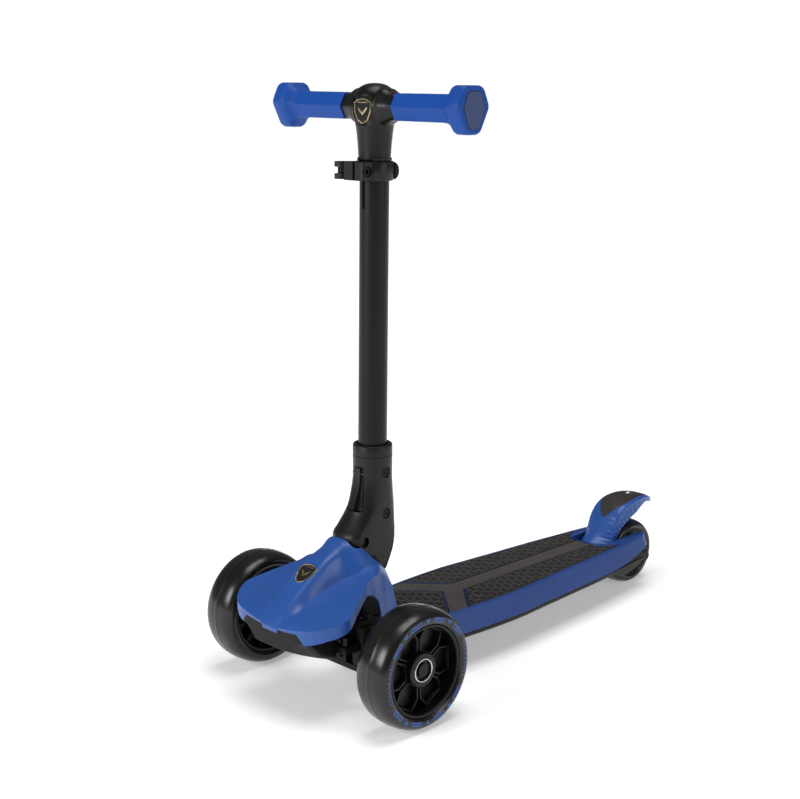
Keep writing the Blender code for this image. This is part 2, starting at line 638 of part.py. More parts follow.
def release_lever():
    """The folding lever on the front of the neck, hinged at its top."""
    side_view = [(35.7, 226.3), (35.3, 214), (33.0, 203), (28.5, 193), (25.6, 187.5), (26.8, 184.2),
                 (29.5, 183.7), (38.2, 186), (38.7, 226.3)]
    lever = outline_solid("release_lever", side_view, -4.9, 4.9, "black_gloss", along="X")
    cut(lever, rod("lever_bore", 1.1, (-8, 37.2, 221), (8, 37.2, 221), sides=12))
    return lever


def release_pin():
    return rod("release_pin", 0.8, (-8.3, 37.2, 221), (8.3, 37.2, 221), "steel", sides=12)


# ---------------------------------------------------------------- stem and clamp

def upright(name, profile, look, steps=28):
    """A turned piece on the stem's axis, with heights counted from the bar's axis."""
    piece = turned(name, profile, look, steps)
    piece.location = vec(0, *BAR_AXIS)
    return piece


def stem_tube():
    low, high = 172.5 - BAR_AXIS[1], 528.6 - BAR_AXIS[1]
    tube = upright("stem_tube", ((STEM_RADIUS, high), (STEM_RADIUS, low), (12.9, low), (12.9, high)),
                   "tube")
    for label, height in (("upper", 221.6), ("lower", 179.0)):
        cut(tube, rod("tube_bolt_hole_" + label, 2.8, (-25, 56.6, height), (25, 56.6, height)))
    slit = block("tube_slit", (-1.6, 40, 484), (1.6, 56, 535))
    on_stem(tube, slit)
    cut(tube, slit)
    return tube


def stem_block(name, low, high):
    """A box given from the stem's axis and the bar's height."""
    y, z = BAR_AXIS
    return block(name, (low[0], low[1] + y, low[2] + z), (high[0], high[1] + y, high[2] + z))


def stem_rod(name, radius, start, end, look=None, sides=20):
    y, z = BAR_AXIS
    return rod(name, radius, (start[0], start[1] + y, start[2] + z), (end[0], end[1] + y, end[2] + z),
               look, sides)


def clamp_collar():
    low, high = -CLAMP_BELOW_BAR - 9.2, -CLAMP_BELOW_BAR + 9.2
    middle = -CLAMP_BELOW_BAR
    collar = upright("clamp_collar", ((18.4, high), (18.4, low), (STEM_RADIUS + GAP, low),
                                      (STEM_RADIUS + GAP, high)), "black_matte")
    ears = stem_block("clamp_ears", (-15.3, -27.5, low), (13.6, -15.4, high))
    slit = stem_block("clamp_slit", (-1.5, -30, low - 1), (1.5, -12, high + 1))
    bore = stem_rod("clamp_bore", 2.8, (-20, CLAMP_PIN[1], middle), (20, CLAMP_PIN[1], middle))
    seat = stem_rod("clamp_seat", 5.2, (8.2, CLAMP_PIN[1], middle), (20, CLAMP_PIN[1], middle))
    on_stem(collar, ears, slit, bore, seat)
    join(collar, ears)
    cut(collar, slit, bore, seat)
    return collar


def clamp_bolt():
    y, middle = CLAMP_PIN[1], -CLAMP_BELOW_BAR
    bolt = stem_rod("clamp_bolt", 2.4, (CLAMP_PIN[0], y, middle), (8.8, y, middle), "steel", 16)
    head = stem_rod("clamp_bolt_head", 4.5, (8.5, y, middle), (12.4, y, middle))
    eye = stem_rod("clamp_bolt_eye", 4.0, (CLAMP_PIN[0], y, middle - 2.9), (CLAMP_PIN[0], y, middle + 2.9))
    hole = stem_rod("clamp_bolt_hole", 1.8, (CLAMP_PIN[0], y, middle - 9), (CLAMP_PIN[0], y, middle + 9),
                    sides=12)
    socket = stem_rod("clamp_bolt_socket", 2.3, (10.4, y, middle), (14, y, middle), sides=6)
    on_stem(bolt, head, eye, hole, socket)
    join(bolt, head, eye)
    cut(bolt, hole, socket)
    return bolt


def clamp_pin():
    middle = -CLAMP_BELOW_BAR
    pin = stem_rod("clamp_pin", 1.5, (*CLAMP_PIN, middle - 7.8), (*CLAMP_PIN, middle + 7.8), "steel", 12)
    on_stem(pin)
    return pin


def clamp_lever():
    """The quick-release lever: a fork on the pin, and an arm that wraps round the stem's back."""
    outline = arc(23.2, 188, 46, 12) + arc(19.3, 46, 200, 12) + arc(7.2, 60, -210, 10, CLAMP_PIN)
    y, z = BAR_AXIS
    middle = z - CLAMP_BELOW_BAR
    lever = outline_solid("clamp_lever", [(a, b + y) for a, b in outline], middle - 8, middle + 8,
                          "black_gloss")
    slot = stem_block("fork_slot", (-40, -29.5, -CLAMP_BELOW_BAR - 3.3), (-15.5, -14.5, -CLAMP_BELOW_BAR + 3.3))
    hole = stem_rod("fork_hole", 1.8, (*CLAMP_PIN, -CLAMP_BELOW_BAR - 12),
                    (*CLAMP_PIN, -CLAMP_BELOW_BAR + 12), sides=12)
    on_stem(lever, slot, hole)
    cut(lever, slot, hole)
    return lever


# ---------------------------------------------------------------- handlebar

def inner_tube():
    tube = upright("inner_tube", ((12.3, -16), (12.3, -275), (10.6, -275), (10.6, -16)), "steel", 32)
    on_stem(tube)
    return tube


def handle_tube():
    tube = rod("handle_tube", 9.0, (-122, *BAR_AXIS), (122, *BAR_AXIS), "steel", 24)
    hollow = rod("handle_tube_bore", 7.4, (-130, *BAR_AXIS), (130, *BAR_AXIS), sides=24)
    on_stem(tube, hollow)
    cut(tube, hollow)
    return tube


def hexagon(x, half_depth, half_height, lift=0.0):
    """A rounded hexagon across the bar, with its points to the front and the back."""
    y, z = BAR_AXIS
    corners = ((1.0, 0.12), (0.62, 0.88), (0.42, 1.0), (-0.42, 1.0), (-0.62, 0.88), (-1.0, 0.12),
               (-1.0, -0.12), (-0.62, -0.88), (-0.42, -1.0), (0.42, -1.0), (0.62, -0.88), (1.0, -0.12))
    return [(x, y + a * half_depth, z + lift + b * half_height) for a, b in corners]


def shield_ring(x, half_depth, half_height, lift=-1.0):
    """The flared end of a grip: wide above the middle and narrower below."""
    y, z = BAR_AXIS
    corners = ((1.0, 0.22), (0.93, 0.72), (0.66, 0.98), (-0.66, 0.98), (-0.93, 0.72), (-1.0, 0.22),
               (-0.96, 0.0), (-0.62, -0.86), (-0.42, -1.0), (0.42, -1.0), (0.62, -0.86), (0.96, 0.0))
    return [(x, y + a * half_depth, z + lift + b * half_height) for a, b in corners]


def t_bar():
    profile = ((0, 21.2), (9, 20), (14.5, 17), (18, 11.5), (19.6, 5), (19.8, -2), (18.6, -9), (17.4, -16),
               (16.4, -25), (15.6, -35), (15.2, -45), (15, -51), (12.6, -51), (12.6, -15.5), (0, -15.5))
    body = upright("t_bar", profile, "black_gloss", 32)
    stubs = loft("bar_stubs", [hexagon(x, 13.4, 11.9) for x in (-34.6, 34.6)])
    bore = rod("bar_bore", 9.3, (-50, *BAR_AXIS), (50, *BAR_AXIS), sides=24)
    flat = block("badge_flat", (-12.6, 30, 562), (12.6, BAR_AXIS[0] - 14.9, 594))
    on_stem(body, stubs, bore, flat)
    join(body, stubs)
    cut(body, bore, flat)
    return body


def bar_badge():
    outline = [(x * 1.22, z * 1.05) for x, z in mirrored(SHIELD_HALF)]
    plate = outline_solid("bar_badge", outline, 0, 1.6, "badge")
    y, z = BAR_AXIS
    plate.matrix_world = Matrix.Translation(vec(0, y - 15.9, z - 3.2)) @ Matrix.Rotation(math.pi / 2, 4, "X")
    on_stem(plate)
    return plate


def grip(side, label):
    shapes = [hexagon(side * 35, 13.6, 12.1), hexagon(side * 36.5, 14.4, 12.7),
              hexagon(side * 101, 14.4, 12.7), hexagon(side * 107, 15.4, 14.2),
              shield_ring(side * 113, 17.6, 20.6), shield_ring(side * 116, 18.2, 22.2),
              shield_ring(side * 127.5, 18.2, 22.2), shield_ring(side * 130.2, 16.8, 20.8)]
    sleeve = loft("grip_" + label, shapes, "blue")
    hollow = rod("grip_bore_" + label, 9.3, (side * 30, *BAR_AXIS), (side * 122.6, *BAR_AXIS), sides=24)
    on_stem(sleeve, hollow)
    cut(sleeve, hollow)
    return sleeve


def grip_cap(side, label):
    cap = loft("grip_cap_" + label, [shield_ring(side * 130.5, 14.6, 18.2),
                                     shield_ring(side * 131.6, 14.6, 18.2),
                                     shield_ring(side * 132.2, 13.8, 17.4)], "blue")
    on_stem(cap)
    return cap


# ---------------------------------------------------------------- assembly

def build_root():
    deck_shell()
    under_tray()
    treads()
    chassis()
    front_bumper()
    hood()
    badge_plate("hood_badge", 1.0, (-0.7, 0.9), "badge")
    fold_pin()
    kingpins()
    rear_axle()
    brake_pin()
    for side, label in ((1, "left"), (-1, "right")):
        screw = rod("deck_screw_" + label, 2.0, (side * 24, 88, 34.4), (side * 24, 88, 53), "steel", sides=12)
        join(screw, rod("deck_screw_head_" + label, 4.0, (side * 24, 88, 32), (side * 24, 88, 34.6)))


def build_front_end():
    hang(pivot("tie_rod_slide", 0, -32, 78), tie_rod())
    for side, label in ((1, "left"), (-1, "right")):
        steer = pivot("steer_" + label, side * KINGPIN[0], KINGPIN[1], FRONT_RADIUS)
        spin = pivot("front_spin_" + label, side * TRACK_HALF, 0, FRONT_RADIUS, steer)
        hang(steer, knuckle(side, label), front_axle(side, label))
        hang(spin, *front_wheel(side, label))


def build_rear_end():
    hang(pivot("rear_spin", 0, WHEELBASE, REAR_RADIUS), *rear_wheel())
    hang(pivot("brake_hinge", 0, *BRAKE_AXIS), *brake())


def build_stem():
    fold = pivot("fold_hinge", 0, *FOLD_AXIS)
    hang(fold, neck_shell(), neck_bolt("upper", 221.6), neck_bolt("lower", 179.0), stem_tube(),
         clamp_collar(), clamp_bolt(), clamp_pin(), release_pin())
    hang(pivot("release_hinge", 0, 37.2, 221, fold), release_lever())
    clamp = pivot("clamp_hinge", CLAMP_PIN[0], BAR_AXIS[0] + CLAMP_PIN[1],
                  BAR_AXIS[1] - CLAMP_BELOW_BAR, fold)
    hang(clamp, clamp_lever())
    height = pivot("height_slide", 0, *BAR_AXIS, fold)
    hang(height, inner_tube(), handle_tube(), t_bar(), bar_badge())
    for side, label in ((1, "left"), (-1, "right")):
        hang(height, grip(side, label), grip_cap(side, label))


build_root()
build_front_end()
build_rear_end()
build_stem()
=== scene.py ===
"""The looks of a child's kick scooter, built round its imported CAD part.

Lengths are written in millimetres, with Y counted from the front axle line, and at() turns
them into metres.  The front of the scooter is -Y, the rider's left is +X and +Z is up.
"""

import math

import bmesh
import bpy
from mathutils import Matrix, Vector


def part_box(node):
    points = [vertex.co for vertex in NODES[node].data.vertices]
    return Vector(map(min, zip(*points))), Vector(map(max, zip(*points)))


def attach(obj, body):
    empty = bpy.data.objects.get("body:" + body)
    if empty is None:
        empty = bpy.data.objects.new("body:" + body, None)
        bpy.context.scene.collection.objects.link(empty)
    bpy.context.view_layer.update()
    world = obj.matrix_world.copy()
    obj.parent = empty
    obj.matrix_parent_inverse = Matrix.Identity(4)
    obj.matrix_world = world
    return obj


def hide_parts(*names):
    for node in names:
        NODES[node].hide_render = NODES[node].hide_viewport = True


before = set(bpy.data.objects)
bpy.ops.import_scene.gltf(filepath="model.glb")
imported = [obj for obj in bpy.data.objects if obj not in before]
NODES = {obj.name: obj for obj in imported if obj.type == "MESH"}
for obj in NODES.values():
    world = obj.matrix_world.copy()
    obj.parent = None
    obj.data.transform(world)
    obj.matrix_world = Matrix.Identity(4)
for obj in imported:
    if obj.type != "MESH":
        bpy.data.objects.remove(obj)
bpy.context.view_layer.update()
MM = 0.001


# ---- places from the frame

def corners(node):
    low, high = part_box(node)
    return Vector(low), Vector(high)


def middle(node):
    low, high = corners(node)
    return (low + high) / 2


def size(node):
    low, high = corners(node)
    return (high - low) / MM


AXLE = middle("front_tyre_left")                       # the front axle line's Y and Z
REAR = middle("rear_tyre")
REAR_RADIUS = size("rear_tyre").z / 2
BAR = middle("handle_tube")                            # the handlebar's axis
STEM_RADIUS = size("stem_tube").x / 2
NECK_HALF = size("neck_shell").x / 2
DECK_TOP = corners("deck_shell")[1].z / MM
RAKE = math.radians(0.884)                             # the stem leans back by this much


def at(x, y, z):
    return Vector((x * MM, y * MM + AXLE.y, z * MM))


def outwards(spot, side):
    """A place at a spot, with its +Z towards the left side or, with -1, the right."""
    return Matrix.Translation(spot) @ Matrix.Rotation(math.radians(90 * side), 4, "Y")


def spun(place, degrees):
    return place @ Matrix.Rotation(math.radians(degrees), 4, "Z")


def flat(outline, height):
    """A flat outline at one height of a piece's own place, in metres."""
    return [Vector((x * MM, y * MM, height * MM)) for x, y in outline]


BAR_Z = BAR.z / MM
REAR_Y = (REAR.y - AXLE.y) / MM
STEM_PLACE = Matrix.Translation(BAR) @ Matrix.Rotation(-RAKE, 4, "X")     # +Z up the stem, from the bar


# ---- curves

def spline(points, per=6):
    """Points on a smooth curve through the given points, with ends kept."""
    points = [Vector(p) for p in points]
    if len(points) < 3:
        return [points[0].lerp(points[-1], i / per) for i in range(per + 1)]
    gaps = [max((b - a).length, 1e-9) ** 0.5 for a, b in zip(points, points[1:])]
    slopes = []
    for i, point in enumerate(points):
        if i == 0:
            slopes.append((points[1] - point) / gaps[0])
        elif i == len(points) - 1:
            slopes.append((point - points[i - 1]) / gaps[-1])
        else:
            before, after = gaps[i - 1], gaps[i]
            rise = (point - points[i - 1]) / before * after + (points[i + 1] - point) / after * before
            slopes.append(rise / (before + after))
    out = [points[0]]
    for i, gap in enumerate(gaps):
        a, b, s, e = points[i], points[i + 1], slopes[i] * gap, slopes[i + 1] * gap
        for k in range(1, per + 1):
            t = k / per
            out.append(a * (2 * t ** 3 - 3 * t ** 2 + 1) + s * (t ** 3 - 2 * t ** 2 + t)
                       + b * (3 * t ** 2 - 2 * t ** 3) + e * (t ** 3 - t ** 2))
    return out


def broken_spline(points, breaks, per=6):
    """A smooth curve that keeps a corner at each index in breaks."""
    stops = [0, *breaks, len(points) - 1]
    out = []
    for a, b in zip(stops, stops[1:]):
        part = spline(points[a:b + 1], per)
        out += part if not out else part[1:]
    return out


def fillet(points, radius, steps=4):
    """A flat outline with its corners rounded."""
    out = []
    count = len(points)
    for i in range(count):
        before, here, after = (Vector(points[j % count]) for j in (i - 1, i, i + 1))
        r = radius[i] if isinstance(radius, (list, tuple)) else radius
        back, on = before - here, after - here
        half = back.angle(on) / 2
        run = min(r / max(math.tan(half), 0.05), 0.48 * back.length, 0.48 * on.length)
        start, end = here + back.normalized() * run, here + on.normalized() * run
        for k in range(steps + 1):
            t = k / steps
            out.append(tuple(start * (1 - t) ** 2 + here * 2 * t * (1 - t) + end * t ** 2))
    return out


def arc(radius, start, end, steps, centre=(0.0, 0.0)):
    turns = [math.radians(start + (end - start) * i / steps) for i in range(steps + 1)]
    return [(centre[0] + radius * math.cos(t), centre[1] + radius * math.sin(t)) for t in turns]


def mirrored(half):
    """A whole outline from its +X half."""
    return list(half) + [(-x, y) for x, y in reversed(half) if x > 0.001]


def inset(points, amount):
    """A closed flat outline moved inwards by the same amount all round."""
    area = sum(a[0] * b[1] - b[0] * a[1] for a, b in zip(points, points[1:] + points[:1]))
    turn = 1 if area > 0 else -1
    out = []
    for i, here in enumerate(points):
        here = Vector(here)
        back = (here - Vector(points[i - 1])).normalized()
        on = (Vector(points[(i + 1) % len(points)]) - here).normalized()
        normal = Vector((-(back.y + on.y), back.x + on.x)) * turn
        if normal.length < 1e-6:
            normal = Vector((-on.y, on.x)) * turn
        normal.normalize()
        edge = Vector((-on.y, on.x)) * turn
        out.append(tuple(here + normal * amount / max(normal.dot(edge), 0.4)))
    return out


# ---- meshes

def to_object(name, bm, mat=None, smooth=38):
    bmesh.ops.recalc_face_normals(bm, faces=bm.faces)
    mesh = bpy.data.meshes.new(name)
    bm.to_mesh(mesh)
    bm.free()
    mesh.shade_smooth()
    mesh.set_sharp_from_angle(angle=math.radians(smooth))
    obj = bpy.data.objects.new(name, mesh)
    bpy.context.scene.collection.objects.link(obj)
    if mat is not None:
        mesh.materials.append(mat)
    return obj


def add_skin(bm, rings, caps=True, loop=False, place=None):
    """A skin over rings of points in metres; with loop, the last ring joins the first."""
    rows = [[bm.verts.new(place @ Vector(p) if place else Vector(p)) for p in ring] for ring in rings]
    count = len(rows[0])
    pairs = list(zip(rows, rows[1:])) + ([(rows[-1], rows[0])] if loop else [])
    for low, high in pairs:
        for i in range(count):
            j = (i + 1) % count
            bm.faces.new((low[i], low[j], high[j], high[i]))
    if caps and not loop:
        bm.faces.new(rows[0])
        bm.faces.new(rows[-1])


def skin(name, rings, mat=None, caps=True, loop=False, place=None, smooth=38):
    bm = bmesh.new()
    add_skin(bm, rings, caps, loop, place)
    return to_object(name, bm, mat, smooth)


def add_plate(bm, outline, levels, place, loop=False):
    """A flat outline raised through (height, inset) levels, in millimetres, in a place."""
    add_skin(bm, [flat(inset(outline, i) if i else outline, z) for z, i in levels], loop=loop,
             place=place)


def plate(name, outline, levels, place, mat=None, smooth=38):
    bm = bmesh.new()
    add_plate(bm, outline, levels, place)
    return to_object(name, bm, mat, smooth)


def add_turned(bm, profile, steps, place):
    """A closed profile of (radius, height) turned about its own Z."""
    rings = []
    for k in range(steps):
        t = 2 * math.pi * k / steps
        rings.append([Vector((r * math.cos(t) * MM, r * math.sin(t) * MM, h * MM)) for r, h in profile])
    add_skin(bm, rings, loop=True, place=place)


def turned(name, profile, steps, place, mat=None, smooth=38):
    bm = bmesh.new()
    add_turned(bm, profile, steps, place)
    return to_object(name, bm, mat, smooth)


def rod(name, radius, start, end, sides=32):
    """A round bar between two points in metres."""
    run = end - start
    place = Matrix.Translation(start) @ run.to_track_quat("Z", "Y").to_matrix().to_4x4()
    length = run.length / MM
    circle = arc(radius, 0, 360 - 360 / sides, sides - 1)
    return skin(name, [flat(circle, z) for z in (0, length)], place=place)


def box(name, low, high):
    """A box between two corners, given in millimetres."""
    (x0, y0, z0), (x1, y1, z1) = low, high
    ring = [(x0, y0), (x1, y0), (x1, y1), (x0, y1)]
    return skin(name, [[at(x, y, z) for x, y in ring] for z in (z0, z1)])


def slab(name, side_view, low, high, mat=None, smooth=38):
    """A side view, as (y, z), drawn out from one x to another."""
    return skin(name, [[at(x, y, z) for y, z in side_view] for x in (low, high)], mat, smooth=smooth)


def block(name, outline, low, high):
    """A flat outline drawn along the stem between two heights from the bar."""
    return skin(name, [flat(outline, z) for z in (low, high)], place=STEM_PLACE)


def bake(obj):
    """Put a piece's modifiers into its mesh."""
    bpy.context.view_layer.update()
    shape = obj.evaluated_get(bpy.context.evaluated_depsgraph_get())
    mesh = bpy.data.meshes.new_from_object(shape)
    old = obj.data
    obj.modifiers.clear()
    obj.data = mesh
    bpy.data.meshes.remove(old)


def carve(obj, *tools, operation="DIFFERENCE", smooth=38):
    """Cut a piece with others, or join or intersect it with them, and use them up."""
    for tool in tools:
        step = obj.modifiers.new("carve", "BOOLEAN")
        step.operation = operation
        step.solver = "EXACT"
        step.object = tool
    bake(obj)
    for tool in tools:
        bpy.data.objects.remove(tool, do_unlink=True)
    obj.data.shade_smooth()
    obj.data.set_sharp_from_angle(angle=math.radians(smooth))


def soften(obj, width, segments=2, angle=35):
    """Round the sharp edges of a piece."""
    edge = obj.modifiers.new("rounded edges", "BEVEL")
    edge.width = width * MM
    edge.segments = segments
    edge.limit_method = "ANGLE"
    edge.angle_limit = math.radians(angle)
    edge.harden_normals = True


def finish_piece(obj, body, slot, *nodes):
    """A piece rides on its body and stands for CAD nodes, which it hides; the slot argument is not used.
    """
    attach(obj, body)
    if nodes:
        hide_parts(*nodes)


# ---- materials

def srgb(r, g, b):
    """A colour as a screen shows it, from 0 to 255, in the linear numbers that a shader takes."""
    out = []
    for c in (r, g, b):
        c /= 255
        out.append(c / 12.92 if c <= 0.04045 else ((c + 0.055) / 1.055) ** 2.4)
    return tuple(out)


def feed(mat, node, inputs):
    """Set each input of a shader node to a value, or link it to another node's output."""
    for name, value in inputs.items():
        if isinstance(value, bpy.types.NodeSocket):
            mat.node_tree.links.new(value, node.inputs[name])
        else:
            node.inputs[name].default_value = value
    return node


def add_node(mat, kind, inputs, **settings):
    node = mat.node_tree.nodes.new("ShaderNode" + kind)
    for name, value in settings.items():
        setattr(node, name, value)
    return feed(mat, node, inputs)


def new_material(name):
    mat = bpy.data.materials.new(name)
    mat.use_nodes = True
    return mat, mat.node_tree.nodes["Principled BSDF"]


MOTTLE_RANGE = (0.3, 0.7)                              # the part of the noise that is used
BROAD_SHARE, FINE_SHARE = 0.6, 0.4                     # of the unevenness in roughness
ROUGHNESS_SPREAD = 0.06
GRAIN_DEPTH = 0.2 * MM


def surface(name, colour, roughness, mottle, mottle_scale, grain, bump, specular=0.5, coat=0.0,
            metallic=0.0, streak=None):
    """A moulded or metal surface: mottled colour, uneven roughness and a fine grain."""
    mat, shader = new_material(name)
    place = add_node(mat, "TexCoord", {}).outputs["Object"]
    if streak:
        place = add_node(mat, "Mapping", {"Vector": place, "Scale": streak}).outputs["Vector"]
    broad, fine = (
        add_node(mat, "TexNoise", {"Vector": place, "Scale": scale, "Detail": detail}).outputs["Fac"]
        for scale, detail in ((mottle_scale, 4), (grain, 2)))
    ramp = add_node(mat, "ValToRGB", {"Fac": broad})
    for stop, position, gain in zip(ramp.color_ramp.elements, MOTTLE_RANGE, (1 - mottle, 1 + mottle)):
        stop.position = position
        stop.color = (*[min(1.0, c * gain) for c in colour], 1)
    low = add_node(mat, "Math", {0: fine, 1: FINE_SHARE}, operation="MULTIPLY").outputs["Value"]
    uneven = add_node(mat, "Math", {0: broad, 1: BROAD_SHARE, 2: low}, operation="MULTIPLY_ADD")
    rough = add_node(mat, "MapRange", {
        "Value": uneven.outputs["Value"], "From Min": MOTTLE_RANGE[0], "From Max": MOTTLE_RANGE[1],
        "To Min": max(0.02, roughness - ROUGHNESS_SPREAD),
        "To Max": min(1.0, roughness + ROUGHNESS_SPREAD)})
    relief = add_node(mat, "Bump", {"Strength": bump, "Distance": GRAIN_DEPTH, "Height": fine})
    feed(mat, shader, {
        "Base Color": ramp.outputs["Color"], "Roughness": rough.outputs["Result"],
        "Normal": relief.outputs["Normal"], "Metallic": metallic, "Specular IOR Level": specular,
        "Coat Weight": coat, "Coat Roughness": 0.22})
    return mat


# name, colour, roughness, mottle and its scale, grain, bump, specular, coat, metallic
BLUE_GLOSS = surface("blue_gloss", srgb(36, 78, 150), 0.36, 0.05, 18, 1500, 0.10, 0.36, coat=0.06)
BLUE_DECK = surface("blue_deck", srgb(24, 60, 126), 0.46, 0.07, 14, 1300, 0.16)
GRIP_BLUE = surface("grip_blue", srgb(12, 64, 142), 0.50, 0.05, 30, 1100, 0.30, 0.22)
CAP_BLUE = surface("grip_cap_blue", srgb(38, 56, 98), 0.55, 0.05, 40, 1100, 0.25)
BLACK_SATIN = surface("black_satin", srgb(15, 14, 14), 0.40, 0.12, 22, 1600, 0.22, 0.3)
BLACK_GLOSS = surface("black_gloss", srgb(10, 10, 9), 0.34, 0.12, 25, 1300, 0.12, 0.26)
BLACK_MATTE = surface("black_matte", srgb(16, 15, 15), 0.52, 0.14, 35, 1000, 0.35, 0.22)
STRIP = surface("strip_rubber", srgb(70, 67, 65), 0.50, 0.10, 30, 1500, 0.3, 0.22)
TREAD = surface("tread_rubber", srgb(58, 56, 55), 0.58, 0.14, 60, 1200, 0.45, 0.22)
TREAD_LOW = surface("tread_base", srgb(14, 14, 14), 0.8, 0.15, 60, 1200, 0.4, 0.2)
HUB_BLACK = surface("hub_black", srgb(9, 9, 9), 0.40, 0.15, 40, 1500, 0.18, 0.28)
STEM_BLACK = surface("stem_black", srgb(9, 8, 8), 0.34, 0.10, 60, 900, 0.10, 0.22, streak=(1, 1, 0.04))
CHROME = surface("inner_tube_metal", srgb(170, 172, 175), 0.22, 0.06, 40, 800, 0.06, metallic=1.0,
                 streak=(1, 1, 0.03))
STEEL = surface("bolt_steel", srgb(96, 95, 94), 0.34, 0.15, 200, 2400, 0.15, metallic=1.0)
DARK_BOLT = surface("dark_bolt", srgb(22, 22, 22), 0.32, 0.15, 200, 2400, 0.15, metallic=0.7)
SILVER = surface("ring_silver", srgb(196, 194, 192), 0.26, 0.06, 200, 2400, 0.08, metallic=1.0)
GOLD = surface("badge_border", srgb(196, 178, 138), 0.28, 0.08, 300, 3000, 0.06, metallic=1.0)
ENAMEL = surface("badge_face", srgb(18, 18, 18), 0.18, 0.1, 200, 2500, 0.05, coat=0.5)
PRINT_BLUE = surface("tyre_print", srgb(44, 92, 176), 0.42, 0.08, 120, 1500, 0.15)
PAD_BLACK = surface("foot_pad", srgb(50, 47, 45), 0.5, 0.10, 60, 1300, 0.35, 0.24)


def tyre_surface(name, centre, inner, outer):
    """Dark cast rubber with painted shade over the rim and painted light where the rubber is clear of it,
    standing in for light through the smoky tyre.
    """
    mat = surface(name, srgb(14, 14, 13), 0.27, 0.10, 30, 1600, 0.08, 0.42, coat=0.08)
    shader = mat.node_tree.nodes["Principled BSDF"]
    mottled = shader.inputs["Base Color"].links[0].from_socket
    coords = add_node(mat, "TexCoord", {})
    from_hub = add_node(mat, "VectorMath", {0: coords.outputs["Object"], 1: centre}, operation="SUBTRACT")
    in_wheel = add_node(mat, "VectorMath", {0: from_hub.outputs["Vector"], 1: (0, 1, 1)},
                        operation="MULTIPLY")
    radius = add_node(mat, "VectorMath", {0: in_wheel.outputs["Vector"]}, operation="LENGTH")
    reach = add_node(mat, "MapRange", {"Value": radius.outputs["Value"], "From Min": inner * MM,
                                       "From Max": outer * MM}, interpolation_type="SMOOTHSTEP")
    # painted shade over the rim rising to painted light at the outer rubber, for light seen through the
    # smoky tyre
    painted_see_through_ramp = add_node(mat, "ValToRGB", {"Fac": reach.outputs["Result"]})
    painted_see_through_ramp.color_ramp.elements[0].color = (0.55, 0.55, 0.56, 1)
    painted_see_through_ramp.color_ramp.elements[1].color = (1.0, 0.98, 0.94, 1)
    mix = add_node(mat, "Mix", {"Factor": 1.0, "A": mottled, "B": painted_see_through_ramp.outputs["Color"]},
                   data_type="RGBA", blend_type="MULTIPLY")
    feed(mat, shader, {"Base Color": mix.outputs["Result"]})
    return mat


# ---- deck

DECK_HALF_WIDTHS = ((62, 46), (90, 49.5), (130, 53), (170, 55.5), (215, 56), (260, 52.5),
                    (305, 49), (354, 45.5), (400, 41), (430, 38), (456, 34.5), (474, 31.5))
RIM = spline([(w, y) for y, w in DECK_HALF_WIDTHS], 5)
DECK_UNDERSIDE = 41.0
TAIL_LINE = ((400, 41), (425, 42.8), (450, 46), (470, 49), (500, 53))    # under the blue shell
FLARE = 8.0
FORK_GAP_HALF = 21.5
FORK_ROOT = 430.0
FORK_END = 484.0
STRIP_HALF = 10.5
PAD_FOOT = DECK_TOP - 3.9                              # the pads and the strip start here
WORLD = Matrix.Translation((0, AXLE.y, 0))             # flat outlines with Y from the front axle


def half_width(y):
    for a, b in zip(RIM, RIM[1:]):
        if y <= b.y:
            return a.x + (b.x - a.x) * (y - a.y) / (b.y - a.y)
    return RIM[-1].x


def along_rim(start, end, inwards, step=6):
    count = max(1, round((end - start) / step))
    return [(half_width(y) - inwards, y) for y in
            (start + (end - start) * i / count for i in range(count + 1))]


def deck_ring(extra, z, end_in=0.0):
    half = [(w + extra, y) for w, y in RIM]
    half += [(28.5 + extra, FORK_END - 2.5 - end_in), (26 + extra, FORK_END - end_in),
             (FORK_GAP_HALF + 0.8, FORK_END - end_in), (FORK_GAP_HALF, FORK_END - 1.5 - end_in),
             (FORK_GAP_HALF, FORK_ROOT + 3), (FORK_GAP_HALF - 3, FORK_ROOT)]
    return [at(x, y, z) for x, y in mirrored(half)]


def deck_shell():
    """The deck's blue shell: slanted sides, a rounded upper edge and a recess for the treads."""
    levels = ((FLARE - 0.5, DECK_UNDERSIDE), (FLARE, DECK_UNDERSIDE + 0.8), (1.6, DECK_TOP - 4.2),
              (0.75, DECK_TOP - 1.9), (0.2, DECK_TOP - 0.7), (-0.5, DECK_TOP - 0.12), (-1.1, DECK_TOP))
    shell = skin("deck_skin", [deck_ring(extra, z) for extra, z in levels], BLUE_DECK)
    lug_room = slab("lug_room", [(388, 28), *TAIL_LINE, (500, 28)], -75, 75)
    tray = fillet(mirrored(along_rim(66, 400, 2.4) + [(35.8, 427), (24.7, 403.6), (12, 400.6)]),
                  0.8, 2)
    recess = plate("recess", tray, ((DECK_TOP - 4.4, 0), (DECK_TOP + 6, 0)), WORLD)
    pocket = box("pocket", (-22.5, 401.5, 48), (22.5, 440, 72))
    carve(shell, lug_room, recess, pocket)
    soften(shell, 0.35, 2, 40)
    finish_piece(shell, "deck", "blue_deck", "deck_shell")


def tread_rib():
    """Thin blue ribs, just proud of the deck, along the slanting sides of the Y-shaped strip."""
    bm = bmesh.new()
    front, turn = ((half_width(117) - 3.4, 117.6), (0.9, 159.6)), (STRIP_HALF + 0.3, 181.9)
    for side in (1, -1):
        for a, b in (front, ((half_width(147) - 3.4, 146.6), turn), (turn, (turn[0], 186))):
            a, b = Vector((a[0] * side, a[1])), Vector((b[0] * side, b[1]))
            across = Vector((-(b - a).y, (b - a).x)).normalized() * 0.35
            ring = [a - across, b - across, b + across, a + across]
            add_skin(bm, [[at(p.x, p.y, z) for p in ring] for z in (DECK_TOP - 4.3, DECK_TOP + 0.1)])
    rib = to_object("tread_rib", bm, BLUE_DECK)
    finish_piece(rib, "deck", "blue_deck")


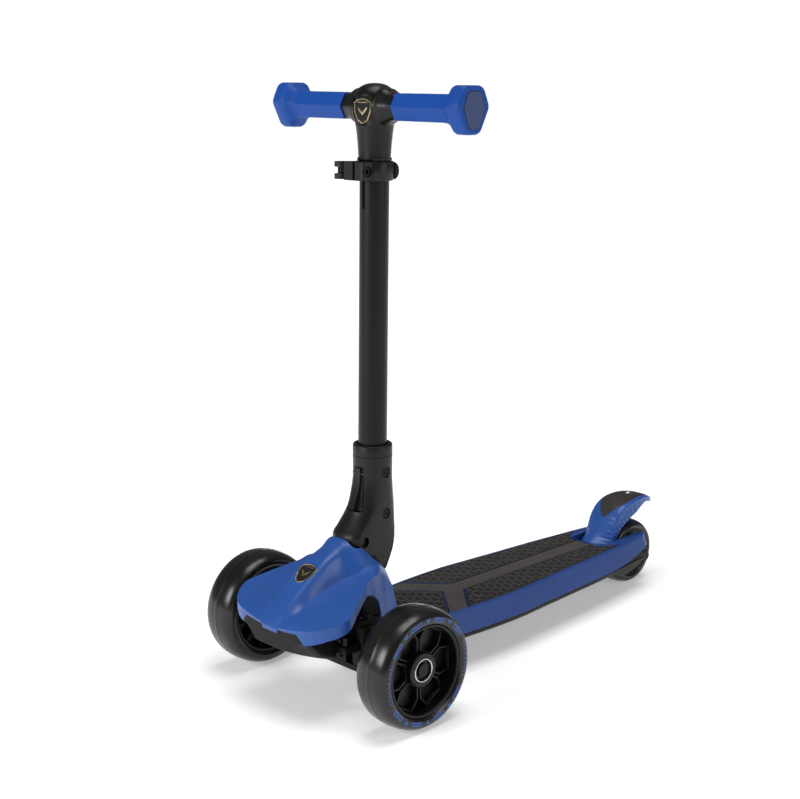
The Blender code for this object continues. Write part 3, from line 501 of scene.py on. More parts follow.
def bricks(name, outline, node):
    """A rubber pad: a base sheet with staggered rounded bricks that stop at its edge."""
    rim = fillet(outline, 2.2, 4)
    pad = plate(name, rim, ((PAD_FOOT, 0), (DECK_TOP - 0.9, 0), (DECK_TOP - 0.55, 0.35)), WORLD, TREAD_LOW)
    low_x, high_x = min(p[0] for p in outline), max(p[0] for p in outline)
    low_y, high_y = min(p[1] for p in outline), max(p[1] for p in outline)
    bm = bmesh.new()
    pitch_x, pitch_y, length, width = 6.6, 17.2, 15.8, 5.5
    slant, stagger = 1.5, 5.8
    row = 0
    x = low_x - 3
    while x < high_x + 4:
        y = low_y - 18 + (row * stagger) % pitch_y
        while y < high_y + 8:
            shape = fillet([(x, y), (x + width, y + slant), (x + width, y + length),
                            (x, y + length - slant)], 1.0, 2)
            add_plate(bm, shape, ((DECK_TOP - 1.6, 0), (DECK_TOP - 0.1, 0), (DECK_TOP + 0.3, 0.5)), WORLD)
            y += pitch_y
        x += pitch_x
        row += 1
    grid = to_object(name + "_bricks", bm, TREAD)
    field = plate("field", fillet(inset(outline, 1.3), 1.6, 4),
                  ((DECK_TOP - 3, 0), (DECK_TOP + 3, 0)), WORLD)
    carve(grid, field, operation="INTERSECT")
    rings = [[at(px, py, DECK_TOP + z) for px, py in (inset(rim, amount) if amount else rim)]
             for amount, z in ((0, -1.2), (0, 0), (0.3, 0.3), (0.8, 0.3), (1.1, 0), (1.1, -1.2))]
    edge = skin(name + "_edge", rings, TREAD, loop=True)
    for piece in (pad, grid, edge):
        finish_piece(piece, "deck", "tread", node)


def treads():
    front = [(-x, y) for x, y in reversed(along_rim(67, 116.4, 3.2))] + along_rim(67, 116.4, 3.2)
    bricks("pad_front", front + [(0, 158.6)], "tread_front")
    for side, label in ((1, "left"), (-1, "right")):
        outline = [(STRIP_HALF + 0.9, 183.4)] + along_rim(148, 400, 3.2) + \
            [(34.9, 423.5), (25.0, 401.9), (STRIP_HALF + 0.9, 398.7)]
        bricks("pad_" + label, [(side * x, y) for x, y in outline], "tread_" + label)


def centre_strip():
    half = along_rim(119.2, 144.6, 2.9, 30) + [(STRIP_HALF - 0.4, 181), (STRIP_HALF - 0.4, 399)]
    outline = mirrored(half) + [(0, 161)]
    strip = plate("strip_plate", outline, ((PAD_FOOT, 0), (DECK_TOP - 0.2, 0)), WORLD, STRIP)
    soften(strip, 0.5, 2, 50)
    finish_piece(strip, "deck", "strip", "centre_strip")


def under_tray():
    """The black tray under the deck, with the lugs that hold the rear axle."""
    levels = ((3.4, 35.0), (5.4, 35.3), (6.7, 36.4), (7.2, 38.4), (7.4, DECK_UNDERSIDE - 1.0),
              (7.0, DECK_UNDERSIDE - 0.4))
    tray = skin("tray_skin", [deck_ring(extra, z, 0.5) for extra, z in levels], BLACK_MATTE)
    side_view = fillet([
        (402, 37), (409, 31), (418, 27.6), (431, 27), (446, 28.6), (458, 32.2), (472, 37.4), (481, 42.8),
        (485.6, 50.4), (470, 48.6), (450, 45.6), (425, 42.4), (402, 40.8)],
        [1, 3, 4, 4, 4, 4, 4, 3, 1.5, 1, 1, 1, 1], 3)
    rings = []
    for z, extra in ((24, 1.5), (30, 4.6), (36, 6.4), (45, 6.2), (56, 2.6)):
        half = [(w + extra, y) for w, y in RIM if y > 380] + [(29 + extra, FORK_END - 0.5)]
        rings.append([at(x, y, z) for x, y in mirrored(half)])
    keep = skin("keep", rings)
    for low, high in ((22, 60), (-60, -22)):
        lug = slab("lug", side_view, low, high)
        spare = keep.copy()
        spare.data = keep.data.copy()
        bpy.context.scene.collection.objects.link(spare)
        carve(lug, spare, operation="INTERSECT")
        carve(tray, lug, operation="UNION")
    bpy.data.objects.remove(keep, do_unlink=True)
    for side in (-1, 1):
        start, end = (at(side * x, REAR_Y, REAR_RADIUS) for x in (34.8, 46))
        carve(tray, rod("seat", 6.9, start, end))
    soften(tray, 0.4, 2, 40)
    finish_piece(tray, "deck", "black_plastic", "under_tray")


# ---- hood and bumper

HOOD_ROWS = (  # from front to back; each row runs from the centre line out to the lip's lower edge
    ((0, -81, 86), (10.5, -81, 86), (12.5, -81, 90), (22, -80.6, 90.2), (37.5, -79.5, 91.7),
     (46.5, -77.5, 82.2), (56, -74.5, 84.7), (62.5, -71, 87.3), (64, -70.3, 88)),
    ((0, -82.5, 91), (10.5, -82.3, 91.2), (13, -82, 92.4), (22, -81.6, 93.6), (38, -80.6, 96),
     (47.5, -79, 97.8), (57, -76, 99.4), (64.3, -70.2, 101.2), (64.8, -69.6, 88.3)),
    ((0, -78, 98.5), (10.5, -78, 98.5), (14, -78, 97.5), (21.5, -77.5, 97.8), (37, -76, 99.7),
     (48, -74, 100.3), (58, -71, 101.2), (68.5, -65, 102.9), (69, -64.5, 90.2)),
    ((0, -64, 112.5), (10.5, -64, 112), (16, -64.5, 107.5), (21, -64.5, 104.8), (36, -62, 105.4),
     (50, -60.5, 105.3), (62, -58.5, 105.2), (74, -57.5, 105.1), (74.3, -57, 92.7)),
    ((0, -48, 124), (11, -48, 123.5), (16.5, -48.5, 116), (20, -49, 111), (36, -48, 110.2),
     (52, -47, 109.9), (65, -46.5, 109.4), (76.5, -48, 108.8), (76.8, -47.5, 96.5)),
    ((0, -33, 134.5), (11, -33, 134), (16.5, -34, 124.5), (19.5, -34.5, 116), (34, -35, 114.7),
     (48, -35.5, 113.9), (61, -36, 113.2), (72.5, -38, 112.4), (73, -37.5, 101)),
    ((0, -16, 146.5), (11.5, -16, 145), (17.5, -16, 134), (20.5, -17, 122.5), (32, -19, 121),
     (44, -21, 119.6), (55, -23, 118.3), (64.5, -24, 117.6), (65, -23.5, 106.5)),
    ((0, -4, 152.5), (11.5, -3, 150.5), (19, -1, 140), (26, -1, 127.5), (35, -4, 126),
     (44, -6.5, 124.5), (51, -8.5, 123.3), (57, -9.2, 122.5), (57.5, -9, 112.5)),
    ((0, 9, 159), (12, 9, 157.5), (21, 10, 149.5), (32, 11, 132.5), (38, 9, 130),
     (43, 6.5, 128.5), (47.5, 4, 127.3), (51, 1.4, 126), (52, 2, 114.3)),
    ((0, 20, 157), (13, 20, 156), (21.5, 20, 150.5), (33, 18, 135.5), (37, 17, 133.8),
     (41, 16, 132.6), (44.5, 14.5, 131), (48, 12, 129.8), (52, 12.9, 107.7)),
    ((0, 31, 146), (14, 31, 145), (21.5, 31, 141.5), (31, 29, 136.5), (34.5, 28, 135.5),
     (38, 27, 134), (41, 26, 132), (44, 24, 128), (52, 20, 88)),
    ((0, 42, 133), (14, 42, 133), (21.5, 42, 132), (25, 42, 131), (29, 41, 129.5),
     (32, 40, 127.5), (35, 39, 124.5), (37.5, 38, 119.5), (49, 36, 76)),
    ((0, 54, 122), (14, 54, 122), (20, 53.5, 121.5), (22, 53, 120.5), (24.5, 52.5, 118.5),
     (27, 52, 116), (30, 51.5, 112.5), (34, 51, 107.5), (47, 49, 76)),
)
LIP_CORNERS = range(1, 8)                              # where the nose's lip keeps corners
WING_CORNERS = (3, 7)                                  # the spine's foot and the lip's edge


def hood():
    """The front hood: a raised spine between two wings, with a lip round its edge."""
    per = 5
    columns = [broken_spline(column, (1,), per) for column in zip(*HOOD_ROWS)]
    bm = bmesh.new()
    grid = []
    for r, points in enumerate(zip(*columns)):
        row = broken_spline(points, WING_CORNERS if r >= per else LIP_CORNERS, 4)
        line = [Vector((-p.x, p.y, p.z)) for p in reversed(row[1:])] + row
        grid.append([bm.verts.new(at(*p)) for p in line])
    for front, back in zip(grid, grid[1:]):
        for i in range(len(front) - 1):
            bm.faces.new((front[i], front[i + 1], back[i + 1], back[i]))
    shell = to_object("hood_skin", bm, BLUE_GLOSS, 50)
    wall = shell.modifiers.new("wall", "SOLIDIFY")
    wall.thickness = 2.4 * MM
    wall.offset = -1.0
    wall.use_even_offset = True
    bake(shell)
    reach, corner, notch_front = NECK_HALF + 1.1, 7.0, 10.5
    front = arc(corner, 180, 270, 12, (corner - reach, notch_front + corner)) + \
        arc(corner, 270, 360, 12, (reach - corner, notch_front + corner))
    notch = plate("notch", front + [(reach, 95), (-reach, 95)], ((88, 0), (200, 0)), WORLD)
    carve(shell, notch, smooth=28)
    soften(shell, 0.7, 3, 32)
    finish_piece(shell, "deck", "blue_gloss", "hood")


BUMPER_STATIONS = (  # x, then top, face edge, underside and heel as (y, z)
    (0, (-80.4, 91), (-80.6, 70.5), (-60, 59), (-56, 57)),
    (11, (-80.4, 91), (-80.5, 70.4), (-60, 59.4), (-54.5, 57)),
    (20, (-80.3, 91), (-80.3, 70.5), (-60, 60.2), (-52.5, 57)),
    (25, (-80.1, 91), (-80.1, 71.2), (-60, 61.2), (-50.5, 57)),
    (28, (-80.0, 91.5), (-79.9, 75), (-60, 61.9), (-49.5, 57)),
    (33, (-79.8, 92), (-79.7, 79), (-60, 62.6), (-47, 57)),
    (37.5, (-79.4, 92), (-79.4, 82.4), (-60, 63.4), (-45, 57.2)),
    (41.5, (-78.9, 87.6), (-78.9, 83.9), (-60, 64.2), (-43.8, 57.6)),
    (46, (-77.4, 84), (-77.4, 83), (-59.5, 65.2), (-42.5, 58.4)),
    (49.5, (-73, 84), (-73, 82.6), (-58, 67), (-41.6, 60)),
    (50.5, (-68, 84), (-68, 82.2), (-56, 69), (-41, 62)))


def front_bumper():
    """The black chin under the hood's nose: a raised face, a slanted underside and a heel."""
    back = -39.5
    half = []
    for x, top, edge, low, heel in BUMPER_STATIONS:
        shelf = 84 if x < 40 else 81
        half.append((x, [top, edge, low, heel, (back, heel[1] + 1), (back, 80), (-70, shelf)]))
    whole = [(-x, ring) for x, ring in reversed(half[1:])] + half
    tub = skin("bumper_tub", [[at(x, y, z) for y, z in ring] for x, ring in whole], BLACK_MATTE, smooth=24)
    soften(tub, 1.0, 3, 26)
    finish_piece(tub, "deck", "black_plastic", "front_bumper")


SHIELD = fillet(mirrored([(0, -13.0), (5.5, -9.5), (8.6, -2.0), (9.3, 6.5), (5.5, 9.2), (0.01, 10.2)]),
                1.2, 3)


def shield(name, place, scale, depth, body, node):
    """A shield badge: a metal border, a dark face and a plain chevron."""
    chevron = [(-4.6, 2.6), (0, -1.8), (4.6, 2.6), (4.6, 0.6), (0, -4.6), (-4.6, 0.6)]
    bar = [(-5.2, 6.9), (-5.2, 5.9), (5.2, 5.9), (5.2, 6.9)]
    outer, chevron, bar = ([(x * scale, y * scale) for x, y in shape] for shape in (SHIELD, chevron, bar))
    bm = bmesh.new()
    add_plate(bm, outer, ((0, 0), (depth - 0.25, 0), (depth, 0.25), (depth, 0.95), (depth - 0.3, 1.2),
                          (0, 1.2)), place, loop=True)
    add_plate(bm, chevron, ((depth - 0.6, 0), (depth - 0.12, 0), (depth - 0.05, 0.1)), place)
    add_plate(bm, bar, ((depth - 0.6, 0), (depth - 0.1, 0)), place)
    border = to_object(name + "_border", bm, GOLD)
    face = plate(name + "_face", inset(outer, 1.1), ((0, 0), (depth - 0.4, 0)), place, ENAMEL)
    finish_piece(border, body, "badge", node)
    finish_piece(face, body, "badge", node)


def hood_badge():
    slope = math.atan2(10.5, 15.0)                     # the spine's rise over its run, under the badge
    seat = at(0, -34.5, 133.45)
    place = Matrix.Translation(seat) @ Matrix.Rotation(slope, 4, "X") \
        @ Matrix.Translation((0, 0, -0.5 * MM))
    shield("hood_badge", place @ Matrix.Diagonal((1.15, 1, 1, 1)), 1.04, 1.4, "deck", "hood_badge")


# ---- front wheels

TYRE_HALF = [  # radius and height, from the rim over the side band to the seam round the tread
    (45.9, 17.6), (46.4, 18.9), (47.6, 19.8), (48.3, 20.0), (48.6, 20.3), (54.2, 20.3), (54.6, 19.9),
    (56.0, 18.6), (57.4, 16.4), (58.6, 13.2), (59.4, 9.2), (59.8, 4.5), (59.88, 0.7), (60.0, 0.3)]
FRONT_CORE = [  # radius and height, round the rim, the wheel's dish and its boss
    (45.8, 17.8), (45.3, 18.4), (43.6, 18.2), (42.6, 17.0), (42.2, 8.0), (42.2, 1.0), (17.0, 1.0),
    (17.0, 13.2), (16.2, 14.2), (12.6, 14.6), (11.9, 14.0), (11.9, 11.8), (11.5, 11.8), (11.5, -14.6),
    (15.4, -14.8), (16.2, -13.8), (18.0, -3.0), (42.2, -3.0), (42.6, -17.0), (43.4, -18.2),
    (45.3, -18.4), (45.8, -17.8)]
HUB_DEPTH = -3.0                                       # the back of the dish
RIB_TOP = 8.4


def polar(radius, angle):
    t = math.radians(angle)
    return (radius * math.cos(t), radius * math.sin(t))


def cell_outline():
    """One six-sided cell of the wheel, about its own centre line."""
    gap = 1.05

    def beside(radius):
        x, y = polar(radius, 30)
        return (x + gap * math.sin(math.radians(30)), y - gap * math.cos(math.radians(30)))

    half = [beside(17.2), beside(30.5), polar(43.4, 16.5)]
    return half + [(x, -y) for x, y in reversed(half)]


def front_wheel(side, label, body):
    """A front wheel: a cast tyre, a core with six cells and twelve inner blades, and a bright ring."""
    tyre_node = "front_tyre_" + label
    place = outwards(middle(tyre_node), side)
    rubber = tyre_surface("tyre_" + label, middle(tyre_node), 46.5, 57)
    profile = TYRE_HALF + [(r, -h) for r, h in reversed(TYRE_HALF)]
    tyre = turned("tyre_ring_" + label, profile, 144, place, rubber, 60)
    finish_piece(tyre, body, "tyre", tyre_node)

    bm = bmesh.new()
    add_turned(bm, FRONT_CORE, 96, place)
    cell = cell_outline()
    for k in range(6):
        add_plate(bm, cell, ((0.5, 0), (RIB_TOP - 0.5, 0), (RIB_TOP, 0.35), (RIB_TOP, 1.75),
                             (RIB_TOP - 0.5, 2.1), (0.5, 2.7)), spun(place, 30 + 60 * k), loop=True)
    for k in range(12):
        blade = [(15.0, -0.9), (42.8, -0.7), (42.8, 0.7), (15.0, 0.9)]
        add_plate(bm, blade, ((-13.0, 0.25), (-12.5, 0), (HUB_DEPTH + 0.5, 0)), spun(place, 15 + 30 * k))
    hub = to_object("wheel_core_" + label, bm, HUB_BLACK, 32)
    finish_piece(hub, body, "hub", "front_hub_" + label)

    section = [(11.5, 15.0), (11.9, 14.6), (11.9, 12.0), (10.4, 12.0), (10.4, 14.6), (10.8, 15.0)]
    ring = turned("axle_ring_" + label, section, 64, place, SILVER)
    finish_piece(ring, body, "ring", "hub_ring_" + label)
    tyre_print(place, label, body)


PRINT_RADIUS = 51.2                                    # the middle of the tyre's side band
PRINT_ROOT = 20.1                                      # the marks start just inside the band's face


def on_band(outline, turn):
    """A flat shape bent round the tyre's side band: x is along the band and y is outwards."""
    bent = []
    for x, y in outline:
        angle = math.radians(turn) + x / PRINT_RADIUS
        bent.append(((PRINT_RADIUS + y) * math.cos(angle), (PRINT_RADIUS + y) * math.sin(angle)))
    return bent


def tyre_print(place, label, body):
    """The blue marks on the tyre's outer side: outlined dashes, forked marks and short ticks."""
    bm = bmesh.new()
    capsule = fillet([(-7.6, -2.1), (7.6, -2.1), (7.6, 2.1), (-7.6, 2.1)], 1.9, 5)
    dash = [(-4.6, -0.3), (4.6, -0.3), (4.6, 0.3), (-4.6, 0.3)]
    fork = [(-0.7, -2.0), (0.7, -2.0), (0.7, 0.0), (3.0, 1.4), (2.2, 2.4), (0, 1.1), (-2.2, 2.4),
            (-3.0, 1.4), (-0.7, 0.0)]

    def mark(outline, turn, top):
        add_skin(bm, [flat(on_band(outline, turn), z) for z in (PRINT_ROOT, top)], place=place)

    for half_turn in (0, 180):
        for turn in (-51, -17, 17, 51):
            around = [on_band(inset(capsule, amount), turn + half_turn) for amount in (0, 0, 0.9, 0.9)]
            heights = (PRINT_ROOT, 20.42, 20.42, PRINT_ROOT)
            add_skin(bm, [flat(ring, z) for ring, z in zip(around, heights)], loop=True, place=place)
            mark(dash, turn + half_turn, 20.4)
        for turn in (-34, 0, 34):
            mark(fork, turn + half_turn, 20.42)
        for k in range(9):
            tall = 1.8 if k % 3 else 2.3
            tick = [(-1.1, -tall), (-0.3, -tall), (1.1, tall), (0.3, tall)]
            mark(tick, 90 + half_turn + (k - 4) * 4.9, 20.4)
    marks = to_object("tyre_marks_" + label, bm, PRINT_BLUE, 30)
    finish_piece(marks, body, "tyre")


# ---- rear wheel

def rear_wheel():
    """The rear wheel: a cast tyre on a plain core with pairs of raised blades on both faces."""
    place = outwards(REAR, 1)
    half = [(29.0, 17.2), (29.6, 18.4), (31.4, 19.0), (33.4, 19.0), (35.4, 17.9), (37.2, 15.2),
            (38.5, 11.2), (39.2, 6.4), (39.42, 0.6), (39.5, 0.2)]
    rubber = tyre_surface("tyre_rear", REAR, 29.5, 37)
    tyre = turned("rear_tyre_ring", half + [(r, -h) for r, h in reversed(half)], 112, place, rubber, 60)
    finish_piece(tyre, "wheel_rear", "tyre", "rear_tyre")
    bm = bmesh.new()
    core = [(28.9, 17.4), (27.4, 17.8), (26.2, 16.8), (25.6, 16.2), (15.2, 16.2), (14.4, 16.6),
            (13.2, 16.2), (11.4, 16.2)]
    add_turned(bm, core + [(r, -h) for r, h in reversed(core)], 80, place)
    outer_face = [(15, 0), (16.8, 0), (17.2, 0.3)]
    inner_face = [(-z, amount) for z, amount in reversed(outer_face)]
    for levels in (outer_face, inner_face):
        for k in range(5):
            for y in (-2.0, 2.0):
                blade = [(14, y - 0.8), (26.2, y * 1.5 - 0.8), (26.2, y * 1.5 + 0.8), (14, y + 0.8)]
                add_plate(bm, blade, levels, spun(place, 72 * k))
    hub = to_object("rear_core", bm, HUB_BLACK, 32)
    finish_piece(hub, "wheel_rear", "hub", "rear_hub")


# ---- brake

BRAKE_SECTIONS = (  # front or top point, rear or lower point, half width
    ((403.5, 53.5), (423, 51.5), 20.5), ((409, 62), (432, 57.5), 21),
    ((418.5, 68.5), (436.6, 62.4), 21.2), ((426.5, 76.5), (440.6, 68.2), 21.3),
    ((433.5, 85.5), (446.6, 74.4), 21.5), ((440.5, 94.5), (453.4, 79.6), 21.8),
    ((449.5, 101.8), (462.5, 84.6), 22), ((462, 106.2), (474, 89.2), 22),
    ((480, 108), (486, 94.6), 20.5), ((496, 106.5), (498, 97.6), 17.5),
    ((510, 102.6), (510, 95), 13.5), ((520.8, 96.8), (520.5, 91.4), 8))
CROWN = 1.8                                            # how far the fender's top falls at its sides
SECTION_STEPS = 16
FLANK_STEPS = 9
RIDGES = 19


def unit(value):
    return min(1.0, max(0.0, value))


def brake_lines():
    """Dense sections of the fender: top point, lower point, half width, how pointed its top is."""
    tops, lows, wide = (spline(line, 14) for line in (
        [(*top, 0) for top, low, w in BRAKE_SECTIONS], [(*low, 0) for top, low, w in BRAKE_SECTIONS],
        [(w, 0, 0) for top, low, w in BRAKE_SECTIONS]))
    last = len(tops) - 1
    return [(Vector((0, top.x, top.y)), Vector((0, low.x, low.y)), max(w.x, 3), max(0.0, 1 - 2 * i / last))
            for i, (top, low, w) in enumerate(zip(tops, lows, wide))]


def over_top(top, low, wide, prow, across):
    """A point on the fender's upper skin, with across from -1 at one side to 1 at the other."""
    depth = (top - low).length
    fall = min(CROWN * (wide / 21) ** 2, depth * 0.3) * (abs(across) ** 2 + 1.2 * abs(across) ** 12)
    fall = max(fall, depth * 0.62 * min(1.0, prow * 1.6) * abs(across) ** 1.7)
    point = top + (low - top).normalized() * fall
    return Vector((across * wide * (1 - 0.035 * abs(across) ** 6), point.y, point.z))


def fender():
    """The spring fender: an arched shell with fine ridges across its flanks."""
    rings = []
    lines = brake_lines()
    for i, (top, low, wide, prow) in enumerate(lines):
        along = i / (len(lines) - 1)
        ridge = unit((along - 0.04) / 0.06) * unit((0.74 - along) / 0.12)
        upper = []
        for k in range(SECTION_STEPS + 1):
            across = k / SECTION_STEPS * 2 - 1
            outer = unit((abs(across) - 0.4) / 0.25) * min(1.0, prow * 2.5)
            wave = 0.28 * ridge * outer * (1 - math.cos(2 * math.pi * along * RIDGES))
            upper.append(over_top(top, low, wide, prow, across) + (low - top).normalized() * wave)

        def flank(side, steps):
            edge = upper[-1] if side > 0 else upper[0]
            foot = Vector((side * wide * 0.985, low.y, low.z))
            points = []
            for k in steps:
                t = k / FLANK_STEPS
                wave = math.cos(2 * math.pi * (along * RIDGES + t * 0.7)) - 1
                out = 0.7 * ridge * unit((t - 0.1) / 0.15) * wave
                points.append(edge.lerp(foot, t) + Vector((side * out, 0, 0)))
            return points

        under = [Vector((side * wide * 0.93, low.y, low.z)) for side in (1, -1)]
        ring = upper + flank(1, range(1, FLANK_STEPS)) + under + flank(-1, range(FLANK_STEPS - 1, 0, -1))
        rings.append([at(*p) for p in ring])
    shell = skin("fender_shell", rings, BLUE_GLOSS, smooth=44)
    finish_piece(shell, "brake", "blue_gloss", "brake_fender")


def foot_pad():
    """The black pad let into the fender's top: pointed at the front and round at the back."""
    lines = brake_lines()

    def nearest(y, z):
        return min(range(len(lines)), key=lambda i: (lines[i][0] - Vector((0, y, z))).length)

    start, end = nearest(435.6, 87.6), nearest(515.5, 99)
    bm = bmesh.new()
    rows = []
    for i in range(start, end + 1):
        u = (i - start) / (end - start)
        top, low, wide, prow = lines[i]
        point = min(1.0, (u / 0.36) ** 0.75)
        tail = 1.0 if u < 0.7 else max(0.0, 1 - ((u - 0.7) / 0.31) ** 2.2) ** 0.5
        half = max(0.02, 0.79 * point * tail)
        out = (top - low).normalized() * 0.45
        row = []
        for k in range(15):
            f = k / 7 - 1
            proud = 0.2 if abs(f) > 0.99 else 1.0
            row.append(bm.verts.new(at(*(over_top(top, low, wide, prow, f * half) + out * proud))))
        rows.append(row)
    for a, b in zip(rows, rows[1:]):
        for k in range(14):
            bm.faces.new((a[k], a[k + 1], b[k + 1], b[k]))
    pad = to_object("foot_pad_sheet", bm, PAD_BLACK, 60)
    thick = pad.modifiers.new("thickness", "SOLIDIFY")
    thick.thickness = 1.2 * MM
    thick.offset = -1.0
    finish_piece(pad, "brake", "black_rubber", "brake_foot_pad")
    top = lines[nearest(484.6, 107.8)][0]
    slope = Matrix.Translation(at(0, top.y, top.z)) @ Matrix.Rotation(-0.12, 4, "X")
    section = [(0.01, -1.0), (3.9, -1.0), (3.9, 0.8), (3.5, 1.15), (2.6, 1.15), (2.2, 0.6), (0.01, 0.6)]
    stud = turned("pad_stud", section, 40, slope, SILVER)
    finish_piece(stud, "brake", "badge", "brake_stud")


# ---- neck

NECK_SECTIONS = (  # height, front, rear, half the width and the depth of the front's rounding
    (107.6, 49.5, 52.5, 8, 1.5), (113, 45.9, 59.6, 13, 6.8), (120, 40.6, 67.0, 18, 13),
    (130, 33, 73.4, 19.5, 18), (137.4, 27.4, 76.6, 19.5, 18), (140, 19.5, 77.4, 19.5, 16),
    (145, 13.9, 78.6, 19.5, 13), (151, 11.5, 79.4, 19.6, 11), (160, 11.6, 79.4, 19.8, 11),
    (168, 17.2, 79.0, 20, 14), (184.5, 28.5, 78.3, 20, 18), (200, 33, 77, 20, 20),
    (215, 36, 76, 20, 20), (236.4, 36.3, 76.3, 20, 20))
NECK_SHARP = 4                                         # sections under the bend, joined by flats
NECK_SIDES = 56


def neck_ring(height, front, rear, half_here, front_depth, shrink=0.0):
    """A section of the neck, flatter at its front than at its rear near the hood."""
    front, rear, half_here = front + shrink, rear - shrink, half_here - shrink
    rear_depth = min(half_here, (rear - front) / 2)
    front_depth = min(front_depth - shrink, (rear - front) / 2)
    ring = []
    for step in range(NECK_SIDES):
        turn = math.radians(-90 + 360 * (step + 0.5) / NECK_SIDES)
        if math.sin(turn) < 0:
            y = front + front_depth * (1 + math.sin(turn))
        else:
            y = rear - rear_depth * (1 - math.sin(turn))
        ring.append(at(half_here * math.cos(turn), y, height))
    return ring


LEVER_FOOT = 10.4                                      # half the release lever's width at its foot
# outlines as (x, z), with their depth along y
FACING = Matrix(((1, 0, 0, 0), (0, 0, 1, AXLE.y), (0, 1, 0, 0), (0, 0, 0, 1)))


def neck():
    """The folding neck: a lean bend into the hood, a lever recess and a chamfered rim."""
    bend = spline([section[:3] for section in NECK_SECTIONS[NECK_SHARP:]], 4)
    widths = spline([(*section[3:], 0) for section in NECK_SECTIONS[NECK_SHARP:]], 4)
    rings = [neck_ring(*section) for section in NECK_SECTIONS[:NECK_SHARP]]
    rings += [neck_ring(*s, min(w.x, NECK_HALF), w.y) for s, w in zip(bend, widths)]
    for height, shrink in ((237.2, 0.0), (237.5, 0.55), (238.1, 0.55), (238.4, 0.0), (247.3, 0.0),
                           (248.6, 0.5), (249, 1.1)):
        rings.append(neck_ring(height, 36.4, 76.4, 20, 20, shrink))
    shell = skin("neck_skin", rings, BLACK_SATIN, smooth=42)
    start, end = (STEM_PLACE @ Vector((0, 0, (z - BAR_Z) * MM)) for z in (171, 262))
    socket = rod("socket", STEM_RADIUS + 1.6, start, end, sides=64)
    slot = box("slot", (-7.2, 16.8, 90), (7.2, 100, 165.2))
    opening = [(-LEVER_FOOT - 0.9, 183.0), (LEVER_FOOT + 0.9, 183.0), (5.9, 227.6), (-5.9, 227.6)]
    recess = plate("recess", fillet(opening, 1.2, 3), ((15, 0), (39.6, 0)), FACING)
    tools = [socket, slot, recess]
    pin = middle("fold_pin")
    for side in (-1, 1):
        x = Vector((side * MM, 0, 0))
        tools.append(rod("pin_seat", 5.6, pin + x * 15.6, pin + x * 25))
        for node in ("neck_bolt_upper", "neck_bolt_lower"):
            bolt = middle(node)
            bolt.x = 0
            tools.append(rod("bolt_seat", 5.3, bolt + x * 16.2, bolt + x * 25, sides=40))
    carve(shell, *tools, smooth=42)
    soften(shell, 0.45, 2, 40)
    finish_piece(shell, "neck", "black_plastic", "neck_shell")

    head = [(0.01, 16.0), (4.6, 16.0), (4.6, 18.3), (4.1, 18.9), (2.2, 19.1), (2.2, 18.3), (0.01, 18.3)]
    for node in ("neck_bolt_upper", "neck_bolt_lower"):
        bm = bmesh.new()
        spot = middle(node)
        spot.x = 0
        for side in (1, -1):
            place = outwards(spot, side)
            add_turned(bm, head, 40, place)
            for turn in (0, 90):
                add_plate(bm, [(-2.1, -0.45), (2.1, -0.45), (2.1, 0.45), (-2.1, 0.45)],
                          ((18.0, 0), (18.75, 0)), spun(place, turn))
        heads = to_object(node + "_heads", bm, DARK_BOLT)
        finish_piece(heads, "neck", "bolt_steel", node)


def release_lever():
    """The lever on the neck's front: a plate let into the neck and a curved rib to press."""
    front = spline([(35.6, 226.3), (35.2, 214), (33.0, 203), (28.5, 193), (25.6, 187.5)], 5)
    side = [(p.x, p.y) for p in front] + [(26.4, 184.9), (29.0, 184.3), (38.0, 185), (38.6, 226.3)]
    rib = slab("lever_rib", side, -3.5, 3.5, BLACK_SATIN, 40)
    foot = [(-LEVER_FOOT, 184.2), (LEVER_FOOT, 184.2), (5.1, 226.9), (-5.1, 226.9)]
    base = plate("lever_base", fillet(foot, 0.8, 3), ((20, 0), (38.4, 0)), FACING)
    face = [(10, 180), (31.4, 180), (31.4, 186), (34.8, 200), (37.2, 212), (37.7, 230), (10, 230)]
    carve(base, slab("face", face, -20, 20))
    carve(rib, base, operation="UNION")
    soften(rib, 0.6, 3, 45)
    finish_piece(rib, "release", "black_gloss", "release_lever")


# ---- stem and clamp

def stem_tube():
    """The outer tube of the stem, slit at its top so that the clamp can close it."""
    low, high, bore = 172.5 - BAR_Z, 528.6 - BAR_Z, 12.9
    profile = [(STEM_RADIUS - 0.25, high), (STEM_RADIUS, high - 0.3), (STEM_RADIUS, low), (bore, low),
               (bore, high)]
    tube = turned("stem_sleeve", profile, 72, STEM_PLACE, STEM_BLACK)
    carve(tube, block("slit", [(-1.6, -22), (1.6, -22), (1.6, -8), (-1.6, -8)], 484 - BAR_Z, 540 - BAR_Z))
    finish_piece(tube, "neck", "stem_black", "stem_tube")


CLAMP_BELOW_BAR = 61.0
CLAMP_HALF_HEIGHT = 9.2
CLAMP_PIN = (-23.5, -21.5)
LEVER_LEVELS = ((-8.4, 4.4), (-7.6, 3.0), (-6, 1.5), (-3.6, 0.4), (0, 0), (3.6, 0.4), (6, 1.5), (7.6, 3.0),
                (8.4, 4.4))                            # height, and how far the outside is drawn in


